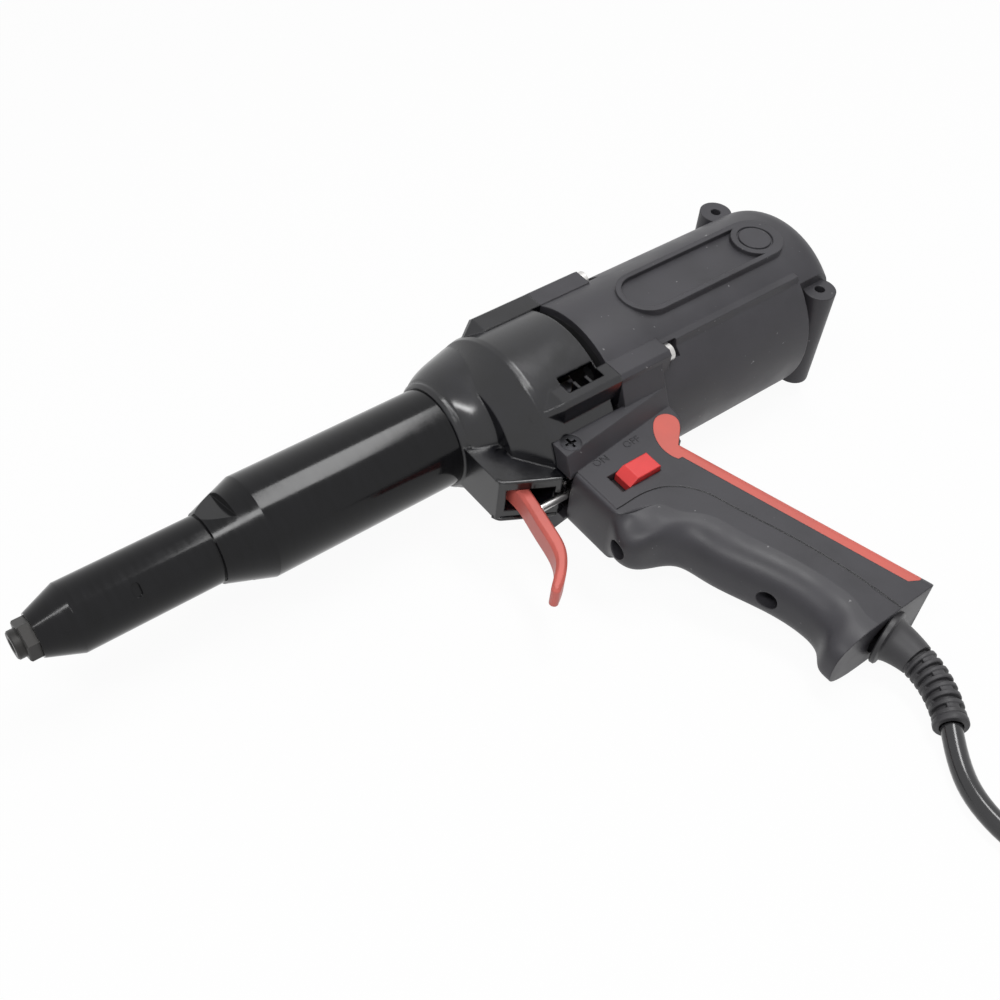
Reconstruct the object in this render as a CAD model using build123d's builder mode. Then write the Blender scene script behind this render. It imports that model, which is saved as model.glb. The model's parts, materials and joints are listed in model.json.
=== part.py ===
"""Electric blind riveter, corded, lying on its right side.

Modelled in the tool's own axes, in mm: X runs along the barrel towards the motor, Z points up
through the top of the tool, the left side faces -Y. x = 0 is the joint between the gearcase and
the motor housing, and the barrel axis is the X axis. At the end every piece is laid on its side.
"""

import os
from math import asin, atan2, cos, degrees, hypot, pi, radians, sin, sqrt, tan

from build123d import *

# Clearances
SLIDE_GAP = 0.3
TURN_GAP = 0.3

# Nosepiece and front sleeve
NOSE_REACH = 7.0
NOSE_TIP_D = 10.0
NOSE_HEX = 12.6
NOSE_HEX_LENGTH = 4.2
NOSE_BORE_D = 4.2
NOSE_THREAD_D = 9.5
NOSE_THREAD_LENGTH = 9.8
NOSE_TAIL_D = 6.0
NOSE_TAIL_LENGTH = 2.6
SLEEVE_FRONT_X = -208.8
SLEEVE_TIP_D = 15.8
SLEEVE_CONE = 11.8
SLEEVE_D = 25.0
SLEEVE_BORE_D = 19.0
SLEEVE_RELIEF = 0.8
SLEEVE_THREAD_D = 24.0
SLEEVE_THREAD_LENGTH = 13.0
NOTCH_X = -176.7
NOTCH_LENGTH = 3.0
NOTCH_WIDTH = 5.0
NOTCH_DEPTH = 1.2
NOTCH_ANGLE = -45.0

# Main barrel
BARREL_FRONT_X = -147.4
BARREL_FRONT_D = 26.4
BARREL_CONE = 16.6
BARREL_D = 38.0
BARREL_BORE_D = 29.0
BARREL_FLATS = 26.0
BARREL_FLATS_LENGTH = 9.4
BARREL_FLATS_ANGLE = 20.0
BARREL_SPIGOT_D = 34.0
KEYWAY_WIDTH = 5.0
KEYWAY_DEPTH = 1.8

# Gearcase
MOTOR_DROP = 9.6
COLLAR_X = -55.0
COLLAR_D = 39.4
WALL_FRONT_X = -46.5
WALL_REAR_X = -41.0
GEAR_ROOM_GAP = 1.15
CASE_D = 71.6
CASE_WALL = 3.4
CASE_REAR_X = -4.6
FLARE_FRONT_X = -43.0
FLARE_FRONT_D = 47.0
FLARE_REAR_X = -33.0
MOTOR_ROOM_X = -24.0

# Corner lugs: insets of their outer faces from the sides and from the top and bottom of the case
LUG_INSET_Y = 4.8
LUG_INSET_Z = 8.0
LUG_WIDTH = 13.0
LUG_HEIGHT = 9.2
LUG_FRONT_X = -26.2
LUG_REAR_X = 24.0
LUG_RAMP = 10.0
LUG_TAPER = 0.8
LUG_SCREW_EDGE_Y = 3.7
LUG_SCREW_EDGE_Z = 3.6
LUG_SCREW_D = 4.0
LUG_SCREW_HEAD_D = 7.0
LUG_SCREW_HEAD = 2.4
LUG_SCREW_REACH = 7.0
LUG_SCREW_END_X = -20.0
LUG_POCKET_DEPTH = 4.6
LUG_RIB = 1.2

# Trigger and its cheeks; heights here and in the grip are drops below the underside of the case
PIVOT_X = -44.6
PIVOT_DROP = -18.7
TRIGGER_PIN_D = 4.0
CHEEK_HALF = 9.6
TRIGGER_WIDTH = 10.0
TRIGGER_EDGE = 1.0
PLUNGER_DROP = 3.9
PLUNGER_D = 3.2
PLUNGER_TRAVEL = 4.5
PLUNGER_FRONT_X = -44.3
PLUNGER_REAR_X = -15.0
PLUNGER_COLLAR_X = -29.4

# Motor housing
CAN_END_X = 117.0
CAN_WALL = 3.0
CAN_ROUND = 9.0
BOSS_X = 107.0
BOSS_LOW_INSET = 8.5
BOSS_HIGH_INSET = 4.0
BOSS_STEP = 3.6
BOSS_D = 13.3
BOSS_HALF = 22.5
BOSS_HOLE_D = 4.2
PANEL_FRONT_X = 22.4
PANEL_REAR_X = 103.5
PANEL_DROP = 1.2
PANEL_HEIGHT = 22.6
PANEL_RIM = 2.2
PANEL_DEPTH = 2.0
PANEL_PROUD = 0.9
PAD_X = 92.2
PAD_D = 14.5
RIDGE_END_X = 97.0
RIDGE_PROUD = 1.7
CAN_ROOM_X = 93.0

# Grip
GRIP_WIDTH = 24.0
GRIP_WALL = 3.0
GRIP_FOOT_DROP = 111.6
NECK_FRONT_X = -32.2
COVER_TOP_DROP = 5.9
FRONT_WALL = 2.4
SEAM_TOP_DROP = 26.2
SEAM_FOOT_X = 20.0
TOE_X = -9.6
FOOT_WALL = 4.0
COVER_SKIN = 3.0
NECK_ROOM_DROP = 0.8
NECK_REAR_X = 20.0
STRIP_THICK = 2.4
STRIP_BAND = 6.5
STRIP_ROUND = 4.0
STRIP_NIP = 3.0
STRIP_FOOT_GAP = 4.4
HEEL_CUT = 3.0
STRIP_GROOVES = 8
STRIP_GROOVE_PITCH = 10.0
SHOULDER_WIDTH = 38.0
SHOULDER_FRONT_X = -33.2
SHOULDER_DROP = 2.4
SHOULDER_FALL = 3.5
SHOULDER_RISE = 6.6
COVER_SCREW_D = 3.5
COVER_SCREW_HEAD_D = 6.6
COVER_SCREW_HEAD = 2.4
COVER_SCREW_POCKET_D = 7.4
COVER_SCREW_LENGTH = 22.0
COVER_BOSS_START = 3.5
SIDE_SCREW_X = -27.6
SIDE_SCREW_DROP = -2.1
SIDE_SCREW_HEAD_D = 7.5
SIDE_SCREW_D = 3.0
SIDE_SCREW_HEAD = 2.2
SIDE_SCREW_END = 8.0
CLAMP_X = 13.1
CLAMP_RISE = 16.0
CLAMP_SCREW_Y = 6.2
CLAMP_SCREW_D = 2.5

# Slide switch
KNOB_FRONT_X = -19.0
KNOB_REAR_X = -4.9
KNOB_DROP = 13.4
KNOB_HEIGHT = 7.8
KNOB_TRAVEL = 3.5
KNOB_PROUD = 2.4

# Drive train
LEAD_SCREW_D = 10.0
DRAW_STROKE = 18.0
FIRST_MODULE = 0.75
FIRST_PINION_TEETH = 9
FIRST_GEAR_TEETH = 36
SECOND_MODULE = 1.0
SECOND_PINION_TEETH = 9
SECOND_GEAR_TEETH = 36
TOOTH_SHARE = 0.34
SHAFT_D = 8.0
COUNTERSHAFT_D = 5.0

# Motor
STATOR_FRONT_X = 30.0
STATOR_REAR_X = 70.0
YOKE_WALL = 6.0
POLE_DEPTH = 8.3
POLE_INSET = 3.5
AIR_GAP = 0.5
COMMUTATOR_D = 22.0
FAN_GAP = 4.3
FAN_BLADES = 11
FRONT_BEARING_D = 22.0
REAR_BEARING_D = 19.0
REAR_BEARING_X = 99.0

# Cord, plug and coil
CORD_D = 7.0
BOOT_TOP_D = 16.0
BOOT_FLANGE_D = 20.0
BOOT_X = 16.6
BOOT_FLANGE = 2.5
BOOT_CONE = 0.3
BOOT_WAIST_D = 12.8
BOOT_CORE_D = 9.2
BOOT_RIB_D = 11.6
BOOT_RIBS = 8
COIL_TURNS = 8
COIL_OUT = 55.0
COIL_PITCH = 7.6
COIL_TAIL = 40.0
TIE_WIDTH = 8.0
TIE_THICK = 1.2
PLUG_LENGTH = 36.0
PLUG_WIDTH = 35.3
PLUG_THICK = 13.7
PIN_D = 4.0
PIN_LENGTH = 19.0
PIN_SPACING = 18.6
FIRST_RUN = 12.0

# Derived sizes
MOTOR_Z = -MOTOR_DROP
CAN_R = CASE_D / 2
CAN_BORE = CAN_R - CAN_WALL
UNDER_Z = MOTOR_Z - CAN_R
GRIP_HALF = GRIP_WIDTH / 2
SHOULDER_HALF = SHOULDER_WIDTH / 2
PIVOT_Z = UNDER_Z - PIVOT_DROP
PLUNGER_Z = UNDER_Z - PLUNGER_DROP
NECK_ROOM_Z = UNDER_Z - NECK_ROOM_DROP
SIDE_SCREW_Z = UNDER_Z - SIDE_SCREW_DROP
SHOULDER_Z = UNDER_Z - SHOULDER_DROP
COVER_TOP_Z = UNDER_Z - COVER_TOP_DROP
SEAM_TOP_Z = UNDER_Z - SEAM_TOP_DROP
KNOB_HIGH_Z = UNDER_Z - KNOB_DROP
KNOB_LOW_Z = KNOB_HIGH_Z - KNOB_HEIGHT
GRIP_FOOT_Z = UNDER_Z - GRIP_FOOT_DROP
CLAMP_Z = GRIP_FOOT_Z + CLAMP_RISE
BOSS_LOW_Z = UNDER_Z + BOSS_LOW_INSET
BOSS_HIGH_Z = MOTOR_Z + CAN_R - BOSS_HIGH_INSET
LUG_OUT_Y = CAN_R - LUG_INSET_Y
LUG_IN_Y = LUG_OUT_Y - LUG_WIDTH
LUG_OUT_Z = CAN_R - LUG_INSET_Z
LUG_IN_Z = LUG_OUT_Z - LUG_HEIGHT
LUG_SCREW_Y = LUG_OUT_Y - LUG_SCREW_EDGE_Y
LUG_SCREW_Z = LUG_OUT_Z - LUG_SCREW_EDGE_Z
STATOR_BORE_D = 2 * (CAN_BORE - YOKE_WALL - POLE_DEPTH)
ARMATURE_D = STATOR_BORE_D - 2 * AIR_GAP
FAN_D = 2 * (CAN_BORE - FAN_GAP)
GEAR_ROOM_D = SECOND_MODULE * (SECOND_GEAR_TEETH + 1.7) + 2 * GEAR_ROOM_GAP
FIRST_SPAN = FIRST_MODULE * (FIRST_PINION_TEETH + FIRST_GEAR_TEETH) / 2
SECOND_SPAN = SECOND_MODULE * (SECOND_PINION_TEETH + SECOND_GEAR_TEETH) / 2
COUNTER_Z = (FIRST_SPAN**2 - SECOND_SPAN**2 - MOTOR_DROP**2) / (2 * MOTOR_DROP)
COUNTER_Y = sqrt(SECOND_SPAN**2 - COUNTER_Z**2)

# Outlines in the side view, as (x, drop below the underside of the case)
SEAM = [(-14.0, 26.4), (-6.7, 29.3), (0.2, 36.3), (4.9, 48.9), (13.2, 74.3), (18.4, 99.0)]
SEAM_ENDS = [(1.0, 0.0), (0.2, -0.98)]
FRONT = [
    (-34.4, 33.6), (-33.0, 38.6), (-25.3, 42.6), (-18.5, 46.6), (-14.8, 56.6), (-8.0, 74.6), (-3.1, 92.6),
    (-4.9, 101.6), (-9.2, 106.6),
]
BACK = [(11.2, 15.0), (38.6, 110.8)]
NECK_BACK = [(13.6, 12.0), (17.6, 8.4), (19.6, 4.0), (NECK_REAR_X, -1.4)]
STRIP_HEAD = [
    (12.4, 12.9), (16.2, 9.2), (17.9, 5.4), (16.2, 1.9), (12.2, 1.0), (8.2, 3.4), (3.8, 10.3), (2.9, 15.9), (4.4, 21.0),
]
STRIP_HEAD_FOOT = [(8.4, 21.0), (9.0, 16.0)]
CHEEK = [(-54.5, -31.4), (-54.5, -7.0), (-52.4, -6.1), (-37.5, 1.8), (-34.4, 3.3)]
TRIGGER_ROOM = [(-51.8, -24.4), (-51.8, 11.6), (-36.0, 11.6), (-36.0, -2.4), (-39.2, -24.4)]
TRIGGER_REAR = [
    (-39.8, -18.7), (-41.4, -9.4), (-43.9, -1.5), (-45.3, 5.5), (-47.2, 14.1), (-49.9, 24.1), (-54.0, 30.2),
    (-59.0, 34.9), (-63.6, 38.0),
]
TRIGGER_FRONT = [
    (-49.4, -18.7), (-48.8, -9.8), (-48.8, -2.2), (-50.2, 4.8), (-52.2, 13.4), (-54.2, 22.0), (-56.6, 27.2),
    (-60.6, 31.3), (-65.0, 34.9),
]

# Screws of the grip's cover: x and drop of each mouth, depth of its pocket
COVER_SCREWS = [(-31.8, 33.3, 16.0), (-7.0, 78.8, 10.0)]

# Strain relief bend and end, measured from the foot of the grip
BOOT_BEND = Vector(20.4, -0.2, GRIP_FOOT_Z - 20.5)
BOOT_END = Vector(6.0, -0.4, GRIP_FOOT_Z - 36.6)

# Cord on the surface: run, heading from X, height of its centre
ROUTE = [
    (16, 240, 3.6), (18, 262, 3.6), (18, 284, 3.6), (20, 306, 3.6), (30, 322, 3.6), (40, 326, 4.2), (40, 320, 5.2),
]


def side_plane(y):
    """The plane at y, with X to the right and Z up; extrusions leave it towards -Y."""
    return Plane((0, y, 0), x_dir=(1, 0, 0), z_dir=(0, -1, 0))


def under(points):
    """Points of the side view, from (x, drop below the case) to (x, z)."""
    return [(x, UNDER_Z - drop) for x, drop in points]


def outline(plane, *points):
    """A closed straight-sided face."""
    with BuildSketch(plane) as flat:
        with BuildLine():
            Polyline(*points, close=True)
        make_face()
    return flat.sketch


def disc(plane, diameter, centre=(0, 0)):
    """A round face."""
    with BuildSketch(plane) as flat:
        with Locations(centre):
            Circle(diameter / 2)
    return flat.sketch


def turn(points, y=0.0, z=0.0, mode=Mode.ADD):
    """Turns (x, radius) points about the line along X through y, z."""
    plane = Plane((0, y, z), x_dir=(1, 0, 0), z_dir=(0, -1, 0))
    revolve(outline(plane, *points), axis=Axis((0, y, z), (1, 0, 0)), mode=mode)


def rod(x0, x1, diameter, y=0.0, z=0.0, mode=Mode.ADD):
    """A round bar along X."""
    extrude(disc(Plane.YZ.offset(x0), diameter, (y, z)), amount=x1 - x0, mode=mode)


def tube(x0, x1, outer, inner, y=0.0, z=0.0):
    """A round tube along X."""
    turn([(x0, inner / 2), (x0, outer / 2), (x1, outer / 2), (x1, inner / 2)], y, z)


def cross_rod(x, z, y0, y1, diameter, mode=Mode.ADD):
    """A round bar along Y, from y0 down to y1."""
    extrude(disc(side_plane(y0), diameter, (x, z)), amount=y0 - y1, mode=mode)


def block(x0, x1, y0, y1, z0, z1, mode=Mode.ADD):
    """A box between six planes."""
    face = outline(Plane.YZ.offset(x0), (y0, z0), (y1, z0), (y1, z1), (y0, z1))
    extrude(face, amount=x1 - x0, mode=mode)


def gear_face(x, teeth, module, phase, y=0.0, z=0.0, bore=0.0):
    """A spur gear's face; one tooth points along phase, in degrees from Y towards Z."""
    pitch = teeth * module / 2
    root = pitch - 1.1 * module
    tip = pitch + 0.85 * module
    thick = TOOTH_SHARE * pi * module
    tooth = [(root - 0.3, -0.65 * thick), (tip, -0.3 * thick), (tip, 0.3 * thick), (root - 0.3, 0.65 * thick)]
    with BuildSketch(Plane.YZ.offset(x)) as flat:
        with Locations((y, z)):
            Circle(root)
            with PolarLocations(0, teeth, start_angle=phase):
                Polygon(*tooth, align=None)
            if bore:
                Circle(bore / 2, mode=Mode.SUBTRACT)
    return flat.sketch


def biarcs(stations):
    """Tangent arcs through (point, direction) stations, two between neighbours."""
    with BuildLine() as path:
        for (start, leave), (end, arrive) in zip(stations, stations[1:]):
            chord = end - start
            lead = chord.dot(leave + arrive)
            bend = 2 * (1 - leave.dot(arrive))
            reach = (sqrt(lead**2 + bend * chord.dot(chord)) - lead) / bend
            middle = (start + end + (leave - arrive) * reach) * 0.5
            first = TangentArc(start, middle, tangent=leave)
            TangentArc(middle, end, tangent=first % 1)
    return path.wires()[0]


def wire_tube(path, diameter):
    """A round wire swept along a path."""
    section = disc(Plane(path @ 0, z_dir=path % 0), diameter)
    sweep(section, path=path)


def spring_path(x0, x1, coil_d, turns, y=0.0, z=0.0):
    """The centre line of a coil spring along X, in quarter turns."""
    stations = []
    rise = (x1 - x0) / turns
    slope = Vector(rise, 0, 0)
    for step in range(4 * turns + 1):
        angle = step * pi / 2
        point = Vector(x0 + rise * step / 4, y + coil_d / 2 * cos(angle), z + coil_d / 2 * sin(angle))
        along = slope + Vector(0, -sin(angle), cos(angle)) * (pi * coil_d)
        stations.append((point, along.normalized()))
    return biarcs(stations)


def lug_corner(side, up):
    """The outline of one corner lug, as (y, z) points."""
    far = MOTOR_Z + up * LUG_OUT_Z
    near = MOTOR_Z + up * LUG_IN_Z
    return [
        (side * LUG_IN_Y, near),
        (side * LUG_OUT_Y, near),
        (side * LUG_OUT_Y, far - up * 1.6),
        (side * (LUG_OUT_Y - 1.6), far),
        (side * LUG_IN_Y, far),
    ]


# Nosepiece
nose_front = SLEEVE_FRONT_X - NOSE_REACH
hex_rear = SLEEVE_FRONT_X
thread_rear = SLEEVE_FRONT_X + NOSE_THREAD_LENGTH
nose_rear = thread_rear + NOSE_TAIL_LENGTH
with BuildPart() as nosepiece:
    with BuildSketch(Plane.YZ.offset(hex_rear - NOSE_HEX_LENGTH)):
        RegularPolygon(NOSE_HEX / 2, 6, major_radius=False)
    extrude(amount=NOSE_HEX_LENGTH)
    chamfer(nosepiece.edges().group_by(Axis.X)[0], length=0.5)
    turn([
        (nose_front, 0), (nose_front, NOSE_TIP_D / 2 - 0.5), (nose_front + 0.5, NOSE_TIP_D / 2),
        (hex_rear, NOSE_TIP_D / 2), (hex_rear, NOSE_THREAD_D / 2), (thread_rear, NOSE_THREAD_D / 2),
        (thread_rear, NOSE_TAIL_D / 2), (nose_rear, NOSE_TAIL_D / 2 - 0.6), (nose_rear, 0),
    ])
    rod(nose_front - 1, nose_rear + 1, NOSE_BORE_D, mode=Mode.SUBTRACT)
    turn([
        (nose_front - 0.01, 0), (nose_front - 0.01, NOSE_BORE_D / 2 + 0.7), (nose_front + 0.7, NOSE_BORE_D / 2),
        (nose_front + 0.7, 0),
    ], mode=Mode.SUBTRACT)

# Slim front sleeve
sleeve_end = BARREL_FRONT_X + SLEEVE_THREAD_LENGTH
with BuildPart() as front_sleeve:
    turn([
        (SLEEVE_FRONT_X, NOSE_THREAD_D / 2), (SLEEVE_FRONT_X, SLEEVE_TIP_D / 2),
        (SLEEVE_FRONT_X + SLEEVE_CONE, SLEEVE_D / 2), (BARREL_FRONT_X - SLEEVE_RELIEF, SLEEVE_D / 2),
        (BARREL_FRONT_X - SLEEVE_RELIEF, SLEEVE_THREAD_D / 2), (sleeve_end, SLEEVE_THREAD_D / 2),
        (sleeve_end, SLEEVE_BORE_D / 2), (thread_rear + 3.2, SLEEVE_BORE_D / 2),
        (thread_rear, SLEEVE_BORE_D / 2 - 3.2), (thread_rear, NOSE_THREAD_D / 2),
    ])
    notch = Plane((NOTCH_X, 0, 0), x_dir=(1, 0, 0),
                  z_dir=(0, -cos(radians(NOTCH_ANGLE)), sin(radians(NOTCH_ANGLE))))
    with BuildSketch(notch.offset(SLEEVE_D / 2 - NOTCH_DEPTH)):
        RectangleRounded(NOTCH_LENGTH, NOTCH_WIDTH, NOTCH_LENGTH * 0.45)
    extrude(amount=NOTCH_DEPTH + 2, mode=Mode.SUBTRACT)

# Main barrel, with two spanner flats on its cone and two keyways inside
keyway_front = sleeve_end + 4
with BuildPart() as main_barrel:
    turn([
        (BARREL_FRONT_X, SLEEVE_THREAD_D / 2), (BARREL_FRONT_X, BARREL_FRONT_D / 2),
        (BARREL_FRONT_X + BARREL_CONE, BARREL_D / 2), (COLLAR_X, BARREL_D / 2),
        (COLLAR_X, BARREL_SPIGOT_D / 2), (WALL_FRONT_X, BARREL_SPIGOT_D / 2),
        (WALL_FRONT_X, BARREL_BORE_D / 2), (sleeve_end, BARREL_BORE_D / 2), (sleeve_end, SLEEVE_THREAD_D / 2),
    ])
    for half_turn in (0, 180):
        tilt = radians(BARREL_FLATS_ANGLE + half_turn)
        flat_plane = Plane((BARREL_FRONT_X - 1, 0, 0), x_dir=(1, 0, 0), z_dir=(0, -cos(tilt), sin(tilt)))
        face = outline(flat_plane.offset(BARREL_FLATS / 2), (0, -BARREL_D), (BARREL_FLATS_LENGTH + 1, -BARREL_D),
                       (BARREL_FLATS_LENGTH + 1, BARREL_D), (0, BARREL_D))
        extrude(face, amount=BARREL_D, mode=Mode.SUBTRACT)
    for side in (-1, 1):
        reach = BARREL_BORE_D / 2 + KEYWAY_DEPTH
        block(keyway_front, WALL_FRONT_X, min(0, side * reach), max(0, side * reach),
              -KEYWAY_WIDTH / 2, KEYWAY_WIDTH / 2, mode=Mode.SUBTRACT)

# Jaw case with its inner cone, and the pull rod screwed into it
case_front = nose_rear + 0.4
case_bore_x = case_front + 16.0
case_rear = case_front + 36.0
case_d = SLEEVE_BORE_D - 2 * SLIDE_GAP
mouth_d = 9.0
case_bore = 14.4
rod_front = case_rear - 8.0
guide_front = keyway_front + 30.0
guide_rear = guide_front + 16.0
rod_d = 12.0
with BuildPart() as jaw_case:
    turn([
        (case_front, mouth_d / 2), (case_front, case_d / 2 - 0.8), (case_front + 0.8, case_d / 2),
        (case_rear, case_d / 2), (case_rear, case_bore / 2), (case_bore_x, case_bore / 2),
    ])
with BuildPart() as pull_rod:
    turn([
        (rod_front, NOSE_BORE_D / 2), (rod_front, case_bore / 2), (case_rear, case_bore / 2),
        (case_rear, rod_d / 2), (guide_front + 8, rod_d / 2), (guide_front + 8, NOSE_BORE_D / 2),
    ])

# Three jaws in the cone, the pusher behind them and its spring
slope = (case_bore - mouth_d) / 2 / (case_bore_x - case_front)
jaw_front = case_front + 0.4
jaw_rear = case_bore_x - 0.4
jaw_hole = NOSE_BORE_D + 0.4
with BuildPart() as jaws:
    turn([
        (jaw_front, jaw_hole / 2), (jaw_front, mouth_d / 2 + slope * 0.4 - SLIDE_GAP),
        (jaw_rear, case_bore / 2 - slope * 0.4 - SLIDE_GAP), (jaw_rear, jaw_hole / 2),
    ])
    for third in range(3):
        angle = radians(90 + 120 * third)
        cut = Plane((jaw_front - 1, 0, 0), x_dir=(0, cos(angle), sin(angle)), z_dir=(1, 0, 0))
        face = outline(cut, (0, -0.5), (case_d, -0.5), (case_d, 0.5), (0, 0.5))
        extrude(face, amount=jaw_rear - jaw_front + 2, mode=Mode.SUBTRACT)
pusher_rear = jaw_rear + 4.0
with BuildPart() as jaw_pusher:
    tube(jaw_rear, pusher_rear, case_bore - 2 * SLIDE_GAP, NOSE_BORE_D)
with BuildPart() as pusher_spring:
    wire_tube(spring_path(pusher_rear + 0.5, rod_front - 0.5, 9.6, 4), 1.0)

# Guide block that keeps the screw from turning, and the screw
screw_rear = -1.0 - DRAW_STROKE
with BuildPart() as guide_block:
    tube(guide_front, guide_rear, BARREL_BORE_D - 2 * SLIDE_GAP, LEAD_SCREW_D)
    rod(guide_front, guide_front + 8, rod_d, mode=Mode.SUBTRACT)
    key_reach = BARREL_BORE_D / 2 + KEYWAY_DEPTH - SLIDE_GAP
    key_half = KEYWAY_WIDTH / 2 - SLIDE_GAP
    for side in (-1, 1):
        inner = side * (BARREL_BORE_D / 2 - 2)
        outer = side * key_reach
        block(guide_front, guide_rear, min(inner, outer), max(inner, outer), -key_half, key_half)
with BuildPart() as draw_screw:
    rod(guide_front + 8, screw_rear, LEAD_SCREW_D)
    chamfer(draw_screw.edges().group_by(Axis.X)[-1], length=1.0)

# Drive nut with its gear and bearings
journal_d = 18.0
flange_d = 33.0
nut_d = 22.0
flange_front = WALL_REAR_X + 4.0
flange_rear = flange_front + 3.0
output_gear_front = flange_rear
output_gear_rear = output_gear_front + 8.0
nut_rear = output_gear_rear + 9.0
counter_angle = degrees(atan2(COUNTER_Z, COUNTER_Y))
with BuildPart() as drive_nut:
    turn([
        (WALL_FRONT_X, LEAD_SCREW_D / 2 + TURN_GAP), (WALL_FRONT_X, journal_d / 2), (flange_front, journal_d / 2),
        (flange_front, flange_d / 2), (flange_rear, flange_d / 2), (flange_rear, nut_d / 2),
        (nut_rear, nut_d / 2), (nut_rear, LEAD_SCREW_D / 2 + TURN_GAP),
    ])
with BuildPart() as output_gear:
    extrude(gear_face(output_gear_front, SECOND_GEAR_TEETH, SECOND_MODULE, counter_angle, bore=nut_d),
            amount=output_gear_rear - output_gear_front)
bearing_seat = 24.0
with BuildPart() as nut_radial_bearing:
    tube(WALL_FRONT_X, WALL_REAR_X, bearing_seat, journal_d + 2 * TURN_GAP)
with BuildPart() as nut_thrust_bearing:
    tube(WALL_REAR_X, flange_front - TURN_GAP, flange_d, journal_d + 2 * TURN_GAP)

# Countershaft
counter = {"y": COUNTER_Y, "z": COUNTER_Z}
second_front = output_gear_front + 0.5
second_rear = output_gear_rear - 0.5
first_front = CASE_REAR_X - 6.4
first_rear = CASE_REAR_X + 0.6
bush_front = WALL_REAR_X + 2.0
plate_front = 0.0
plate_rear = 6.0
second_tooth = counter_angle + 180 + 180 / SECOND_PINION_TEETH
motor_angle = degrees(atan2(COUNTER_Z - MOTOR_Z, COUNTER_Y))
with BuildPart() as countershaft:
    rod(bush_front, plate_rear - 1, COUNTERSHAFT_D, **counter)
    pinion_face = gear_face(second_front, SECOND_PINION_TEETH, SECOND_MODULE, second_tooth, **counter)
    extrude(pinion_face, amount=second_rear - second_front)
with BuildPart() as countershaft_gear:
    wheel = gear_face(first_front, FIRST_GEAR_TEETH, FIRST_MODULE,
                      motor_angle + 180 + 180 / FIRST_GEAR_TEETH, bore=COUNTERSHAFT_D, **counter)
    extrude(wheel, amount=first_rear - first_front)
bush_d = COUNTERSHAFT_D + 5.0
with BuildPart() as countershaft_bushes:
    tube(bush_front, bush_front + 4, bush_d, COUNTERSHAFT_D + 2 * TURN_GAP, **counter)
    tube(plate_front, plate_rear, bush_d, COUNTERSHAFT_D + 2 * TURN_GAP, **counter)

# Plate between gears and motor, seated in the front of the motor housing
vent_d = 9.0
vent_ring = CAN_BORE - 8.8
with BuildPart() as gear_plate:
    rod(plate_front, plate_rear, 2 * CAN_BORE, z=MOTOR_Z)
    rod(plate_front - 1, plate_rear + 1, FRONT_BEARING_D, z=MOTOR_Z, mode=Mode.SUBTRACT)
    rod(plate_front - 1, plate_rear + 1, bush_d, mode=Mode.SUBTRACT, **counter)
    for spot in range(6):
        angle = radians(90 + 60 * spot)
        rod(plate_front - 1, plate_rear + 1, vent_d, y=vent_ring * cos(angle), z=MOTOR_Z + vent_ring * sin(angle),
            mode=Mode.SUBTRACT)

# Armature with its shaft, windings, commutator and fan
pinion_front = first_front - 0.6
shaft_end = REAR_BEARING_X + 6.0
shaft_rear_d = 7.0
with BuildPart() as armature_shaft:
    rod(first_rear + 0.6, REAR_BEARING_X, SHAFT_D, z=MOTOR_Z)
    rod(REAR_BEARING_X, shaft_end, shaft_rear_d, z=MOTOR_Z)
    small = gear_face(pinion_front, FIRST_PINION_TEETH, FIRST_MODULE, motor_angle, z=MOTOR_Z)
    extrude(small, amount=first_rear + 0.6 - pinion_front)
core_front = STATOR_FRONT_X + 1
core_rear = STATOR_REAR_X - 1
with BuildPart() as armature_core:
    tube(core_front, core_rear, ARMATURE_D, SHAFT_D, z=MOTOR_Z)
    for slot in range(12):
        angle = radians(30 * slot)
        slot_plane = Plane((core_front - 1, 0, MOTOR_Z), x_dir=(0, cos(angle), sin(angle)), z_dir=(1, 0, 0))
        tip = ARMATURE_D / 2 + 1
        face = outline(slot_plane, (tip - 5, -0.9), (tip, -0.9), (tip, 0.9), (tip - 5, 0.9))
        extrude(face, amount=core_rear - core_front + 2, mode=Mode.SUBTRACT)
with BuildPart() as armature_windings:
    wind_in, wind_out = SHAFT_D / 2, ARMATURE_D / 2 - 3.5
    turn([(core_front - 7, wind_in), (core_front - 7, wind_out - 3), (core_front - 3, wind_out),
          (core_front, wind_out), (core_front, wind_in)], z=MOTOR_Z)
    turn([(core_rear, wind_in), (core_rear, wind_out), (core_rear + 3, wind_out), (core_rear + 7, wind_out - 3),
          (core_rear + 7, wind_in)], z=MOTOR_Z)
commutator_front = core_rear + 9
commutator_rear = commutator_front + 14
with BuildPart() as commutator:
    tube(commutator_front, commutator_rear, COMMUTATOR_D, SHAFT_D, z=MOTOR_Z)
    tube(commutator_front, commutator_front + 2, COMMUTATOR_D + 4, COMMUTATOR_D - 2, z=MOTOR_Z)
fan_front = plate_rear + 4
fan_rear = fan_front + 10
with BuildPart() as cooling_fan:
    tube(fan_front, fan_rear, 16.0, SHAFT_D, z=MOTOR_Z)
    tube(fan_rear - 1.6, fan_rear, FAN_D, 15.0, z=MOTOR_Z)
    for blade in range(FAN_BLADES):
        angle = radians(360 / FAN_BLADES * blade)
        blade_plane = Plane((fan_front, 0, MOTOR_Z), x_dir=(0, cos(angle), sin(angle)), z_dir=(1, 0, 0))
        face = outline(blade_plane, (7.4, -0.7), (FAN_D / 2 - 0.6, 3.2), (FAN_D / 2 - 0.6, 4.6), (7.4, 0.7))
        extrude(face, amount=fan_rear - fan_front - 0.8)

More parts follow.
